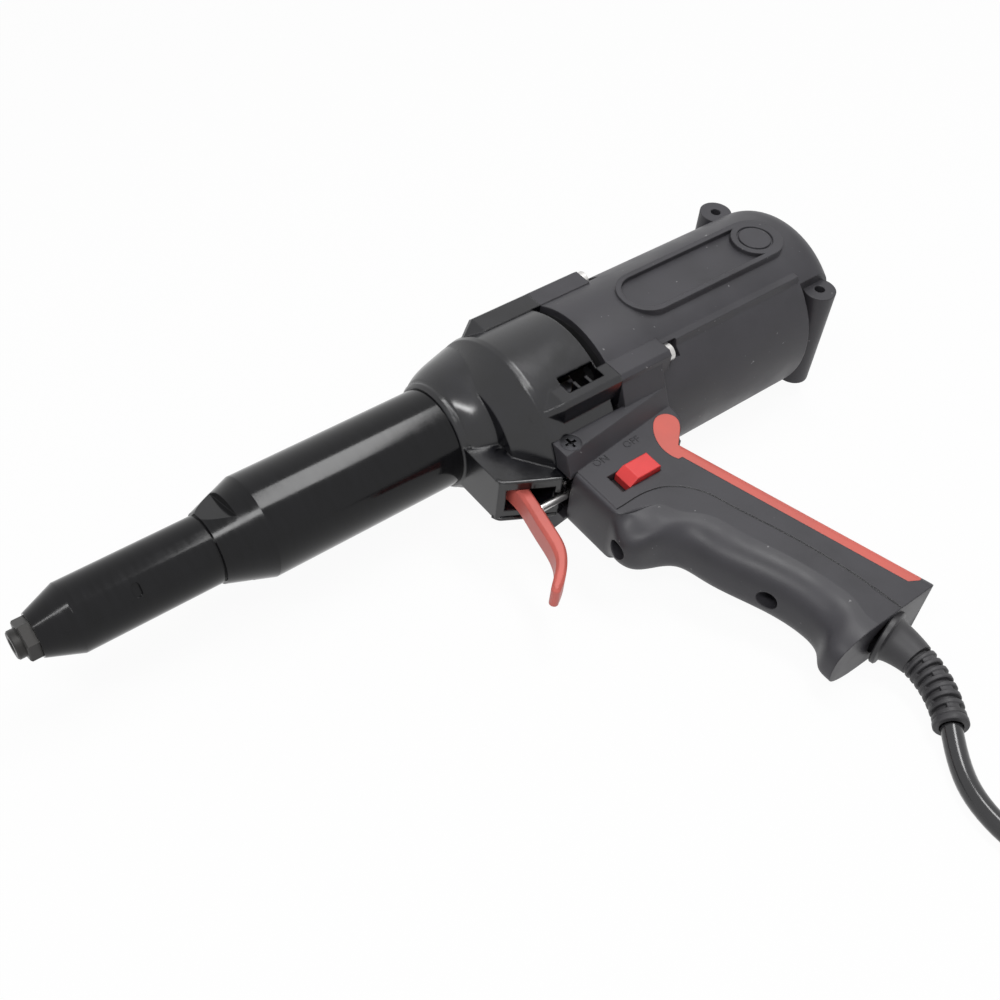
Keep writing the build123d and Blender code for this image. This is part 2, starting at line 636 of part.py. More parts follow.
# Motor bearings
with BuildPart() as motor_front_bearing:
    tube(plate_front, plate_rear, FRONT_BEARING_D, SHAFT_D + 2 * TURN_GAP, z=MOTOR_Z)
with BuildPart() as motor_rear_bearing:
    tube(REAR_BEARING_X + TURN_GAP, shaft_end, REAR_BEARING_D, shaft_rear_d + 2 * TURN_GAP, z=MOTOR_Z)

# Stator: laminated ring with two poles, and the two field coils round the poles
pole_half = STATOR_BORE_D / 2 - POLE_INSET
yoke_d = 2 * (CAN_BORE - YOKE_WALL)
with BuildPart() as stator_core:
    rod(STATOR_FRONT_X, STATOR_REAR_X, 2 * CAN_BORE, z=MOTOR_Z)
    with BuildSketch(Plane.YZ.offset(STATOR_FRONT_X)) as window:
        with Locations((0, MOTOR_Z)):
            Circle(yoke_d / 2)
            Rectangle(pole_half * 2, yoke_d + 4, mode=Mode.SUBTRACT)
            Circle(STATOR_BORE_D / 2)
    extrude(amount=STATOR_REAR_X - STATOR_FRONT_X, mode=Mode.SUBTRACT)
coil_out = yoke_d / 2 - 0.5
coil_in = STATOR_BORE_D / 2 + 1.5
bar_y = pole_half + 2.2
bar_z = sqrt((STATOR_BORE_D / 2 + 3.36)**2 - bar_y**2)
with BuildPart() as field_coils:
    for side in (-1, 1):
        for x0, x1 in ((STATOR_FRONT_X - 7, STATOR_FRONT_X), (STATOR_REAR_X, STATOR_REAR_X + 7)):
            with BuildSketch(Plane.YZ.offset(x0)):
                with Locations((0, MOTOR_Z)):
                    Circle(coil_out)
                    Circle(coil_in, mode=Mode.SUBTRACT)
                with Locations((0, MOTOR_Z + side * (coil_in - 12))):
                    away = Align.MAX if side > 0 else Align.MIN
                    Rectangle(CASE_D, CASE_D, align=(Align.CENTER, away), mode=Mode.SUBTRACT)
            extrude(amount=x1 - x0)
            with BuildSketch(Plane.YZ.offset(STATOR_FRONT_X)):
                with Locations((-bar_y, MOTOR_Z + side * bar_z), (bar_y, MOTOR_Z + side * bar_z)):
                    Rectangle(4.0, 5.0)
            extrude(amount=STATOR_REAR_X - STATOR_FRONT_X)

# Brush holders and brushes either side of the commutator
brush_x = (commutator_front + commutator_rear) / 2 + 1
brush_in = COMMUTATOR_D / 2 + 0.3
with BuildPart() as brush_holders:
    for side in (-1, 1):
        inner, outer = side * (brush_in + 2.5), side * (CAN_BORE - 0.5)
        block(brush_x - 5, brush_x + 5, min(inner, outer), max(inner, outer), MOTOR_Z - 4.5, MOTOR_Z + 4.5)
        block(brush_x - 3.2, brush_x + 3.2, min(inner, outer) - 1, max(inner, outer) + 1,
              MOTOR_Z - 2.7, MOTOR_Z + 2.7, mode=Mode.SUBTRACT)
with BuildPart() as carbon_brushes:
    for side in (-1, 1):
        inner, outer = side * brush_in, side * (brush_in + 15)
        block(brush_x - 3.2, brush_x + 3.2, min(inner, outer), max(inner, outer), MOTOR_Z - 2.7, MOTOR_Z + 2.7)

# Gearcase casting
with BuildPart() as gearcase:
    with BuildSketch(Plane.XZ):
        with BuildLine():
            top = Polyline((COLLAR_X, 0), (COLLAR_X, COLLAR_D / 2), (COLLAR_X + 1.2, COLLAR_D / 2 + 1.0),
                           (COLLAR_X + 2.6, COLLAR_D / 2 + 1.0), (COLLAR_X + 3.2, COLLAR_D / 2 + 1.9))
            bulb = Spline(top @ 1, (-47.4, 23.9), (-39.0, 26.2), (-33.0, 27.6), (-26.0, 28.2),
                          tangents=[(0.8, 0.6), (1, 0)])
            Polyline(bulb @ 1, (CASE_REAR_X - 4, 25.0), (CASE_REAR_X - 4, 0), (COLLAR_X, 0))
        make_face()
    revolve(axis=Axis.X)
    turn([
        (FLARE_FRONT_X, 0), (FLARE_FRONT_X, FLARE_FRONT_D / 2), (FLARE_REAR_X - 2.5, CAN_R - 2.6),
        (FLARE_REAR_X - 0.8, CAN_R - 0.4), (FLARE_REAR_X + 1.2, CAN_R), (CASE_REAR_X, CAN_R), (CASE_REAR_X, 0),
    ], z=MOTOR_Z)
    for up in (-1, 1):
        for side in (-1, 1):
            extrude(outline(Plane.YZ.offset(LUG_FRONT_X), *lug_corner(side, up)), amount=-LUG_FRONT_X)
            slim = [(LUG_TAPER * y, MOTOR_Z + LUG_TAPER * (z - MOTOR_Z)) for y, z in lug_corner(side, up)]
            loft([outline(Plane.YZ.offset(LUG_FRONT_X - LUG_RAMP), *slim),
                  outline(Plane.YZ.offset(LUG_FRONT_X), *lug_corner(side, up))], ruled=True)
    cheek_rear = NECK_FRONT_X + 1.0
    cheeks = under(CHEEK + [(cheek_rear, 2.6), (cheek_rear, CHEEK[0][1])])
    extrude(outline(side_plane(CHEEK_HALF), *cheeks), amount=2 * CHEEK_HALF)
    rod(COLLAR_X - 3, WALL_FRONT_X, BARREL_SPIGOT_D, mode=Mode.SUBTRACT)
    rod(COLLAR_X - 3, COLLAR_X, BARREL_D, mode=Mode.SUBTRACT)
    rod(WALL_FRONT_X, WALL_REAR_X, bearing_seat, mode=Mode.SUBTRACT)
    rod(WALL_REAR_X, CASE_REAR_X + 1, GEAR_ROOM_D, mode=Mode.SUBTRACT)
    rod(MOTOR_ROOM_X, CASE_REAR_X + 1, 2 * (CAN_R - CASE_WALL), z=MOTOR_Z, mode=Mode.SUBTRACT)
    rod(bush_front + 4, MOTOR_ROOM_X + 1, 14.0, mode=Mode.SUBTRACT, **counter)
    rod(bush_front, bush_front + 5, bush_d, mode=Mode.SUBTRACT, **counter)
    slot_half = TRIGGER_WIDTH / 2 + SLIDE_GAP + 0.2
    extrude(outline(side_plane(slot_half), *under(TRIGGER_ROOM)), amount=2 * slot_half, mode=Mode.SUBTRACT)
    cross_rod(SIDE_SCREW_X, SIDE_SCREW_Z, -SIDE_SCREW_END, -SHOULDER_HALF, SIDE_SCREW_D, mode=Mode.SUBTRACT)
    cross_rod(SIDE_SCREW_X, SIDE_SCREW_Z, -SHOULDER_HALF + SIDE_SCREW_HEAD, -CAN_R, SIDE_SCREW_HEAD_D,
              mode=Mode.SUBTRACT)
    notch_half = PLUNGER_D / 2 + SLIDE_GAP + 0.2
    block(TRIGGER_ROOM[2][0] - 1, cheek_rear + 1, -notch_half, notch_half, PLUNGER_Z - 10, PLUNGER_Z + notch_half,
          mode=Mode.SUBTRACT)
    cross_rod(PIVOT_X, PIVOT_Z, CHEEK_HALF + 1, -CHEEK_HALF - 1, TRIGGER_PIN_D, mode=Mode.SUBTRACT)
    pocket_front, pocket_rear = LUG_FRONT_X + 5, -5
    pocket_floor, pocket_top = MOTOR_Z - LUG_IN_Z - LUG_POCKET_DEPTH, MOTOR_Z - LUG_IN_Z
    for side in (-1, 1):
        inner, outer = side * (LUG_SCREW_Y - 2.6), side * (LUG_OUT_Y + 1)
        block(pocket_front, pocket_rear, min(inner, outer), max(inner, outer), pocket_floor, pocket_top + 4,
              mode=Mode.SUBTRACT)
        outer = side * (LUG_OUT_Y - 0.8)
        for share in (1 / 3, 2 / 3):
            x = pocket_front + (pocket_rear - pocket_front) * share
            block(x - LUG_RIB / 2, x + LUG_RIB / 2, min(inner, outer) - 0.2, max(inner, outer), pocket_floor - 0.2,
                  pocket_top - 0.6)
    for up in (-1, 1):
        for side in (-1, 1):
            y, z = side * LUG_SCREW_Y, MOTOR_Z + up * LUG_SCREW_Z
            rod(LUG_SCREW_END_X, 1, LUG_SCREW_D, y=y, z=z, mode=Mode.SUBTRACT)

# Trigger, its pin, the plunger behind it and the plunger's spring
with BuildPart() as trigger:
    for y, inset in ((0.5, TRIGGER_EDGE), (0.38, 0.0), (-0.38, 0.0), (-0.5, TRIGGER_EDGE)):
        with BuildSketch(side_plane(y * TRIGGER_WIDTH)):
            with BuildLine():
                rear_points, front_points = [], []
                for (xr, zr), (xf, zf) in zip(under(TRIGGER_REAR), under(TRIGGER_FRONT)):
                    across = Vector(xf - xr, zf - zr).normalized() * inset
                    rear_points.append((xr + across.X, zr + across.Y))
                    front_points.append((xf - across.X, zf - across.Y))
                rear = Spline(*rear_points, tangents=[(0, -1), (-0.85, -0.53)])
                front = Spline(*front_points, tangents=[(0, -1), (-0.75, -0.66)])
                ThreePointArc(rear @ 0, (PIVOT_X, PIVOT_Z + 4.8 - inset), front @ 0)
                tip = (Vector(*rear_points[-1]) + Vector(*front_points[-1])) * 0.5
                ThreePointArc(rear @ 1, (tip.X - 1.2 + inset, tip.Y - 0.8 + inset * 0.6), front @ 1)
            make_face()
    loft(ruled=True)
    cross_rod(PIVOT_X, PIVOT_Z, TRIGGER_WIDTH, -TRIGGER_WIDTH, TRIGGER_PIN_D + 2 * TURN_GAP, mode=Mode.SUBTRACT)
with BuildPart() as trigger_pin:
    cross_rod(PIVOT_X, PIVOT_Z, CHEEK_HALF - 0.5, -CHEEK_HALF + 0.5, TRIGGER_PIN_D)
with BuildPart() as switch_plunger:
    rod(PLUNGER_FRONT_X, PLUNGER_REAR_X, PLUNGER_D, z=PLUNGER_Z)
    fillet(switch_plunger.edges().group_by(Axis.X)[0], radius=0.8)
    rod(PLUNGER_COLLAR_X, PLUNGER_COLLAR_X + 1, PLUNGER_D + 2.4, z=PLUNGER_Z)
switch_front = PLUNGER_COLLAR_X + 10.4
switch_rear = switch_front + 22.0
with BuildPart() as trigger_spring:
    wire_tube(spring_path(PLUNGER_COLLAR_X + 1.35, switch_front - 0.35, PLUNGER_D + 1.8, 5, z=PLUNGER_Z), 0.7)
with BuildPart() as trigger_switch:
    block(switch_front, switch_rear, -7.5, 7.5, PLUNGER_Z - 7, NECK_ROOM_Z)
    rod(switch_front - 1, PLUNGER_REAR_X + PLUNGER_TRAVEL + 1, PLUNGER_D + 2 * SLIDE_GAP, z=PLUNGER_Z,
        mode=Mode.SUBTRACT)

# Red strip on the back of the grip, wrapped round its two edges
back_top, back_foot = under(BACK)
back_dx, back_dz = back_foot[0] - back_top[0], back_foot[1] - back_top[1]
back_length = hypot(back_dx, back_dz)
down = (back_dx / back_length, back_dz / back_length)
inward = (down[1], -down[0])


def off_back(along, depth):
    """A point so far down the back line of the grip and so deep under it, as (x, z)."""
    return (back_top[0] + down[0] * along + inward[0] * depth, back_top[1] + down[1] * along + inward[1] * depth)


def back_x(z):
    """Where the back line of the grip lies at a height."""
    return back_top[0] + back_dx * (z - back_top[1]) / back_dz


def back_band(half, near, far, start, end, rounding, nip=0.01):
    """A bar along the back line, rounded at its two rear edges and nipped at its lower front corner."""
    corners = [off_back(start, near), off_back(end, near), off_back(end, far - nip), off_back(end - nip, far),
               off_back(start, far)]
    with BuildPart() as bar:
        extrude(outline(side_plane(half), *corners), amount=2 * half)
        edges = [e for e in bar.edges() if abs(e.center().Y) > half - 0.01]
        rear = off_back((start + end) / 2, near)
        edges = [e for e in edges if hypot(e.center().X - rear[0], e.center().Z - rear[1]) < 0.1]
        fillet(edges, radius=rounding)
    return bar.part


strip_end = back_length - STRIP_FOOT_GAP
strip_core = back_band(GRIP_HALF - STRIP_THICK, STRIP_THICK, STRIP_BAND + 8, 0, back_length, STRIP_ROUND - 2)
with BuildPart() as strip_blank:
    add(back_band(GRIP_HALF, 0, STRIP_BAND, 0, strip_end, STRIP_ROUND, STRIP_NIP))
    for start in (GRIP_HALF, -GRIP_HALF + STRIP_THICK):
        with BuildSketch(side_plane(start)):
            with BuildLine():
                head = Spline(*under(STRIP_HEAD))
                Polyline(head @ 1, *under(STRIP_HEAD_FOOT), head @ 0)
            make_face()
        extrude(amount=STRIP_THICK)
    add(strip_core, mode=Mode.SUBTRACT)
with BuildPart() as grip_strip:
    add(strip_blank.part)
    for groove in range(STRIP_GROOVES):
        x, z = off_back(14 + STRIP_GROOVE_PITCH * groove, -1.0)
        cross_rod(x, z, GRIP_HALF + 1, -GRIP_HALF - 1, 4.0, mode=Mode.SUBTRACT)


# Front cover of the grip
def seam_line():
    """The seam between cover and housing, from its front end to the foot, as (x, z) points."""
    return [(NECK_FRONT_X + FRONT_WALL, SEAM_TOP_Z), *under(SEAM), (SEAM_FOOT_X, GRIP_FOOT_Z)]


def line_x(points, z):
    """Where a line of (x, z) points, listed downwards, lies at a height."""
    (xa, za), (xb, zb) = [run for run in zip(points, points[1:]) if run[0][1] >= z >= run[1][1]][-1]
    return xa + (xb - xa) * (z - za) / (zb - za)


def seam_x(z):
    """How far back the seam lies at a height."""
    return line_x(seam_line(), z)


def front_line():
    """The front of the grip on the middle plane, downwards, as (x, z) points."""
    return [(NECK_FRONT_X, SEAM_TOP_Z), *under(FRONT), (TOE_X, GRIP_FOOT_Z)]


def cover_swell(share):
    """How much of the cover's depth is left at a share of the grip's half width."""
    return 0.4 + 0.6 * sqrt(1 - abs(share) ** 3)


with BuildPart() as cover_form:
    wall_rear = NECK_FRONT_X + FRONT_WALL
    for share in (-1.0, -0.93, -0.72, -0.4, 0.0, 0.4, 0.72, 0.93, 1.0):
        swell = cover_swell(share)
        wall_front = wall_rear - FRONT_WALL * swell
        with BuildSketch(side_plane(-share * GRIP_HALF)):
            with BuildLine():
                back = Spline(*seam_line(), tangents=SEAM_ENDS)
                face = Spline(*[(seam_x(z) + (x - seam_x(z)) * swell, z) for x, z in front_line()],
                              tangents=[(0, -1), (0, -1)], tangent_scalars=[1, 1])
                Line(back @ 1, face @ 1)
                Polyline(back @ 0, (wall_rear, COVER_TOP_Z), (wall_front, COVER_TOP_Z), face @ 0)
            make_face()
    loft()
with BuildPart() as cover_room:
    room_top, room_foot = SEAM_TOP_Z - 9, GRIP_FOOT_Z + FOOT_WALL
    heights = [room_top + (room_foot - room_top) * step / 16 for step in range(17)]
    room_rear = [(seam_x(z) + 3, z) for z in heights]
    room_half = GRIP_HALF - GRIP_WALL
    room_swell = cover_swell(room_half / GRIP_HALF)
    room_front = []
    for z in reversed(heights):
        skin = seam_x(z) + (line_x(front_line(), z) - seam_x(z)) * room_swell
        room_front.append((skin + COVER_SKIN, z))
    extrude(outline(side_plane(room_half), *room_rear, *room_front), amount=2 * room_half)
cover_holes = [(x, UNDER_Z - drop, depth) for x, drop, depth in COVER_SCREWS]
with BuildPart() as handle_cover:
    add(cover_form.part)
    add(cover_room.part, mode=Mode.SUBTRACT)
    for x, z, depth in cover_holes:
        rod(x + COVER_BOSS_START, seam_x(z) - 0.2, COVER_SCREW_POCKET_D + 4, z=z)
        rod(x - 8, x + depth, COVER_SCREW_POCKET_D, z=z, mode=Mode.SUBTRACT)
        rod(x, x + depth + 30, COVER_SCREW_D, z=z, mode=Mode.SUBTRACT)
    extrude(disc(Plane.XY.offset(GRIP_FOOT_Z - 1), BOOT_TOP_D, (BOOT_X, 0)), amount=FOOT_WALL + 2, mode=Mode.SUBTRACT)

# Motor housing: can, lugs, cross bosses, side panel, neck and the back of the grip
panel_z = MOTOR_Z - PANEL_DROP
panel_mid = (PANEL_FRONT_X + PANEL_REAR_X) / 2
panel_length = PANEL_REAR_X - PANEL_FRONT_X
boss_heights = (BOSS_LOW_Z, BOSS_HIGH_Z)
grip_room_half = GRIP_HALF - GRIP_WALL
with BuildPart() as grip_back:
    with BuildSketch(side_plane(GRIP_HALF)):
        with BuildLine():
            seam = Spline(*seam_line(), tangents=SEAM_ENDS)
            heel = Polyline(seam @ 1, (SEAM_FOOT_X + 12, GRIP_FOOT_Z), off_back(back_length, STRIP_BAND),
                            off_back(0, STRIP_BAND), back_top)
            neck = Spline(heel @ 1, *under(NECK_BACK), tangents=[(0.2, 1), (0.05, 1)])
            neck_top = UNDER_Z + 11.4
            Polyline(neck @ 1, (NECK_REAR_X, neck_top), (NECK_FRONT_X + FRONT_WALL, neck_top), seam @ 0)
        make_face()
    extrude(amount=2 * GRIP_HALF)
    add(back_band(GRIP_HALF, 0, STRIP_BAND + 2, 0, back_length, STRIP_ROUND))
    shoulder_in = CHEEK_HALF + 2 * SLIDE_GAP
    for side in (-1, 1):
        ends = []
        for x, rise in ((SHOULDER_FRONT_X, 0.0), (NECK_REAR_X, SHOULDER_RISE)):
            edge, foot = SHOULDER_Z + rise, SHOULDER_Z - SHOULDER_FALL + rise
            ends.append(outline(Plane.YZ.offset(x), (side * shoulder_in, neck_top), (side * SHOULDER_HALF, neck_top),
                                (side * SHOULDER_HALF, edge), (side * GRIP_HALF, foot), (side * shoulder_in, foot)))
        loft(ends, ruled=True)
        gusset = outline(Plane.YZ, (side * LUG_IN_Y, MOTOR_Z - LUG_IN_Z), (side * LUG_OUT_Y, MOTOR_Z - LUG_OUT_Z + 1.6),
                         (side * SHOULDER_HALF, SHOULDER_Z + SHOULDER_RISE))
        extrude(gusset, amount=NECK_REAR_X)
    heel_corner = [(back_foot[0] + 1, back_foot[1] + HEEL_CUT), (back_foot[0] + 1, GRIP_FOOT_Z - 1),
                   (back_foot[0] - HEEL_CUT, GRIP_FOOT_Z - 1)]
    extrude(outline(side_plane(GRIP_HALF + 1), *heel_corner), amount=2 * GRIP_HALF + 2, mode=Mode.SUBTRACT)
    block(-60, 60, -40, 40, GRIP_FOOT_Z - 9, GRIP_FOOT_Z, mode=Mode.SUBTRACT)
    rod(LUG_FRONT_X - 20, 0, CASE_D, z=MOTOR_Z, mode=Mode.SUBTRACT)
deep = STRIP_THICK + GRIP_WALL
room = [off_back(22, deep), off_back(back_length - 3, deep), off_back(back_length - 3, 40), off_back(22, 40)]
with BuildPart() as grip_room:
    extrude(outline(side_plane(grip_room_half), *room), amount=2 * grip_room_half)
    block(-60, 60, -40, 40, GRIP_FOOT_Z - 9, GRIP_FOOT_Z + FOOT_WALL, mode=Mode.SUBTRACT)
with BuildPart() as rear_room:
    rod(CAN_ROOM_X - 1, CAN_END_X - 4, 2 * CAN_BORE - 4, z=MOTOR_Z)
    block(CAN_ROOM_X - 2, CAN_END_X, -CAN_R, CAN_R, MOTOR_Z - CAN_R, BOSS_LOW_Z + BOSS_STEP + CAN_WALL,
          mode=Mode.SUBTRACT)
    block(CAN_ROOM_X - 2, CAN_END_X, -CAN_R, CAN_R, BOSS_HIGH_Z - BOSS_STEP - CAN_WALL, MOTOR_Z + CAN_R,
          mode=Mode.SUBTRACT)
with BuildPart() as motor_housing:
    rod(0, CAN_END_X, CASE_D, z=MOTOR_Z)
    fillet(motor_housing.edges().group_by(Axis.X)[-1], radius=CAN_ROUND)
    for z, up in ((BOSS_LOW_Z, -1), (BOSS_HIGH_Z, 1)):
        step = z - up * BOSS_STEP
        block(BOSS_X - BOSS_D / 2 - 2.6, CAN_END_X + 1, -CAN_R, CAN_R, min(step, step + up * 40),
              max(step, step + up * 40), mode=Mode.SUBTRACT)
        cross_rod(BOSS_X, z, BOSS_HALF, -BOSS_HALF, BOSS_D)
    for up in (-1, 1):
        for side in (-1, 1):
            with BuildSketch(Plane.YZ):
                with BuildLine():
                    Polyline(*lug_corner(side, up), close=True)
                make_face()
            extrude(amount=LUG_REAR_X)
    for side in (-1, 1):
        ridge = [(side * (CAN_R - 1) * cos(radians(a)), MOTOR_Z - (CAN_R - 1) * sin(radians(a))) for a in (31, 43)]
        peak = (side * (CAN_R + RIDGE_PROUD) * cos(radians(37)), MOTOR_Z - (CAN_R + RIDGE_PROUD) * sin(radians(37)))
        extrude(outline(Plane.YZ.offset(LUG_REAR_X - 1), ridge[0], peak, ridge[1]), amount=RIDGE_END_X - LUG_REAR_X + 1)
    with BuildSketch(side_plane(-CAN_R + 4)):
        with Locations((panel_mid, panel_z)):
            SlotOverall(panel_length, PANEL_HEIGHT)
    extrude(amount=4 + PANEL_PROUD)
    with BuildSketch(side_plane(-CAN_R - PANEL_PROUD + PANEL_DEPTH)):
        with Locations((panel_mid, panel_z)):
            SlotOverall(panel_length - 2 * PANEL_RIM, PANEL_HEIGHT - 2 * PANEL_RIM)
        with Locations((PAD_X, panel_z)):
            Circle(PAD_D / 2 + 2.4, mode=Mode.SUBTRACT)
    extrude(amount=PANEL_DEPTH + 2, mode=Mode.SUBTRACT)
    with BuildSketch(side_plane(-CAN_R - PANEL_PROUD + 0.7)):
        with Locations((PAD_X, panel_z)):
            Circle(PAD_D / 2)
            Circle(PAD_D / 2 - 0.9, mode=Mode.SUBTRACT)
    extrude(amount=2, mode=Mode.SUBTRACT)
    add(grip_back.part)
    rod(-1, CAN_ROOM_X, 2 * CAN_BORE, z=MOTOR_Z, mode=Mode.SUBTRACT)
    add(rear_room.part, mode=Mode.SUBTRACT)
    rod(REAR_BEARING_X, CAN_END_X - 3, REAR_BEARING_D + 7, z=MOTOR_Z)
    rod(REAR_BEARING_X - 1, REAR_BEARING_X + 6.0, REAR_BEARING_D, z=MOTOR_Z, mode=Mode.SUBTRACT)
    for z in boss_heights:
        cross_rod(BOSS_X, z, BOSS_HALF + 1, -BOSS_HALF - 1, BOSS_HOLE_D, mode=Mode.SUBTRACT)
    block(NECK_FRONT_X, 5.0, -grip_room_half, grip_room_half, SEAM_TOP_Z + 1.5, NECK_ROOM_Z, mode=Mode.SUBTRACT)
    add(grip_room.part, mode=Mode.SUBTRACT)
    for x, z, depth in cover_holes:
        rod(x + COVER_BOSS_START, seam_x(z) + 0.2, COVER_SCREW_POCKET_D + 4, z=z, mode=Mode.SUBTRACT)
        rod(seam_x(z) + 0.2, back_x(z) - deep + 1, COVER_SCREW_POCKET_D + 2, z=z)
        rod(seam_x(z) - 1, x + depth + COVER_SCREW_LENGTH, COVER_SCREW_D, z=z, mode=Mode.SUBTRACT)
    for side in (-1, 1):
        rod(CLAMP_X, back_x(CLAMP_Z) - deep + 1, CLAMP_SCREW_D + 2.8, y=side * CLAMP_SCREW_Y, z=CLAMP_Z)
        rod(CLAMP_X - 1, CLAMP_X + 10, CLAMP_SCREW_D, y=side * CLAMP_SCREW_Y, z=CLAMP_Z, mode=Mode.SUBTRACT)
    add(strip_blank.part, mode=Mode.SUBTRACT)
    extrude(disc(Plane.XY.offset(GRIP_FOOT_Z - 1), BOOT_TOP_D, (BOOT_X, 0)), amount=FOOT_WALL + 2, mode=Mode.SUBTRACT)
    for up in (-1, 1):
        for side in (-1, 1):
            y, z = side * LUG_SCREW_Y, MOTOR_Z + up * LUG_SCREW_Z
            rod(-1, LUG_REAR_X + 1, LUG_SCREW_D, y=y, z=z, mode=Mode.SUBTRACT)
            rod(LUG_REAR_X, LUG_REAR_X + LUG_SCREW_REACH, LUG_SCREW_HEAD_D, y=y, z=z, mode=Mode.SUBTRACT)
    cross_rod(SIDE_SCREW_X, SIDE_SCREW_Z, -SIDE_SCREW_END, -SHOULDER_HALF - 1, SIDE_SCREW_D, mode=Mode.SUBTRACT)
    cross_rod(SIDE_SCREW_X, SIDE_SCREW_Z, -SHOULDER_HALF + SIDE_SCREW_HEAD, -SHOULDER_HALF - 1, SIDE_SCREW_HEAD_D,
              mode=Mode.SUBTRACT)
    block(KNOB_FRONT_X - KNOB_TRAVEL - SLIDE_GAP, KNOB_REAR_X + SLIDE_GAP, -GRIP_HALF - 1, -GRIP_HALF + GRIP_WALL + 1,
          KNOB_LOW_Z - SLIDE_GAP, KNOB_HIGH_Z + SLIDE_GAP, mode=Mode.SUBTRACT)

# Screws
with BuildPart() as lug_screws:
    for up in (-1, 1):
        for side in (-1, 1):
            y, z = side * LUG_SCREW_Y, MOTOR_Z + up * LUG_SCREW_Z
            rod(LUG_SCREW_END_X, LUG_REAR_X, LUG_SCREW_D, y=y, z=z)
            rod(LUG_REAR_X, LUG_REAR_X + LUG_SCREW_HEAD, LUG_SCREW_HEAD_D, y=y, z=z)
            for a, b in ((2.4, 0.5), (0.5, 2.4)):
                block(LUG_REAR_X + LUG_SCREW_HEAD - 1.2, LUG_REAR_X + LUG_SCREW_HEAD + 1, y - a, y + a, z - b, z + b,
                      mode=Mode.SUBTRACT)
with BuildPart() as side_screw:
    cross_rod(SIDE_SCREW_X, SIDE_SCREW_Z, -SIDE_SCREW_END, -SHOULDER_HALF + SIDE_SCREW_HEAD, SIDE_SCREW_D)
    cross_rod(SIDE_SCREW_X, SIDE_SCREW_Z, -SHOULDER_HALF + SIDE_SCREW_HEAD, -SHOULDER_HALF + 0.2, SIDE_SCREW_HEAD_D)
    for a, b in ((2.3, 0.55), (0.55, 2.3)):
        block(SIDE_SCREW_X - a, SIDE_SCREW_X + a, -SHOULDER_HALF - 1, -SHOULDER_HALF + 1.5, SIDE_SCREW_Z - b,
              SIDE_SCREW_Z + b, mode=Mode.SUBTRACT)
with BuildPart() as cover_screws:
    for x, z, depth in cover_holes:
        seat = x + depth
        rod(seat, seat + COVER_SCREW_LENGTH, COVER_SCREW_D, z=z)
        rod(seat - COVER_SCREW_HEAD, seat, COVER_SCREW_HEAD_D, z=z)
        for a, b in ((2.2, 0.5), (0.5, 2.2)):
            block(seat - COVER_SCREW_HEAD - 1, seat - COVER_SCREW_HEAD + 1.3, -a, a, z - b, z + b, mode=Mode.SUBTRACT)

# Slide switch
knob_inner = -GRIP_HALF + GRIP_WALL + 0.4
with BuildPart() as slide_knob:
    knob = [(KNOB_FRONT_X, knob_inner), (KNOB_REAR_X, knob_inner), (KNOB_REAR_X, -GRIP_HALF - KNOB_PROUD),
            (KNOB_FRONT_X + 3.4, -GRIP_HALF - KNOB_PROUD), (KNOB_FRONT_X, -GRIP_HALF + 0.4)]
    extrude(outline(Plane.XY.offset(KNOB_LOW_Z), *knob), amount=KNOB_HIGH_Z - KNOB_LOW_Z)
    fillet(slide_knob.edges().group_by(Axis.Y)[0], radius=0.5)
with BuildPart() as slide_switch_body:
    inside = -GRIP_HALF + GRIP_WALL
    block(KNOB_FRONT_X - 7, KNOB_REAR_X + 5, inside, inside + 12, KNOB_LOW_Z - 2.6, KNOB_HIGH_Z + 2)
    block(KNOB_FRONT_X - KNOB_TRAVEL - SLIDE_GAP, KNOB_REAR_X + SLIDE_GAP, inside - 1, knob_inner + SLIDE_GAP,
          KNOB_LOW_Z - SLIDE_GAP, KNOB_HIGH_Z + SLIDE_GAP, mode=Mode.SUBTRACT)

# Cord clamp inside the grip, with the cord that it holds
with BuildPart() as cord_clamp:
    block(CLAMP_X - 3, CLAMP_X, -CLAMP_SCREW_Y - 2.5, CLAMP_SCREW_Y + 2.5, CLAMP_Z - 4, CLAMP_Z + 4)
    for side in (-1, 1):
        rod(CLAMP_X - 4, CLAMP_X + 1, CLAMP_SCREW_D, y=side * CLAMP_SCREW_Y, z=CLAMP_Z, mode=Mode.SUBTRACT)
with BuildPart() as clamp_screws:
    for side in (-1, 1):
        rod(CLAMP_X - 3, CLAMP_X + 9, CLAMP_SCREW_D, y=side * CLAMP_SCREW_Y, z=CLAMP_Z)
        rod(CLAMP_X - 5, CLAMP_X - 3, CLAMP_SCREW_D + 2.3, y=side * CLAMP_SCREW_Y, z=CLAMP_Z)
boot_top = GRIP_FOOT_Z + FOOT_WALL
with BuildPart() as inner_cord:
    extrude(disc(Plane.XY.offset(boot_top), CORD_D, (BOOT_X, 0)), amount=CLAMP_Z + 9 - boot_top)

# Ribbed strain relief, drooping to the surface
lean = asin(CAN_R / hypot(GRIP_HALF, MOTOR_Z - GRIP_FOOT_Z)) - atan2(GRIP_HALF, MOTOR_Z - GRIP_FOOT_Z)
boot_start = Vector(BOOT_X, 0, GRIP_FOOT_Z - BOOT_FLANGE)


def boot_plane(share):
    """The cross plane a share of the way along the boot."""
    rest = 1 - share
    point = boot_start * rest**2 + BOOT_BEND * (2 * rest * share) + BOOT_END * share**2
    along = (BOOT_BEND - boot_start) * rest + (BOOT_END - BOOT_BEND) * share
    return Plane(point, x_dir=(1, 0, -along.X / along.Z), z_dir=along)


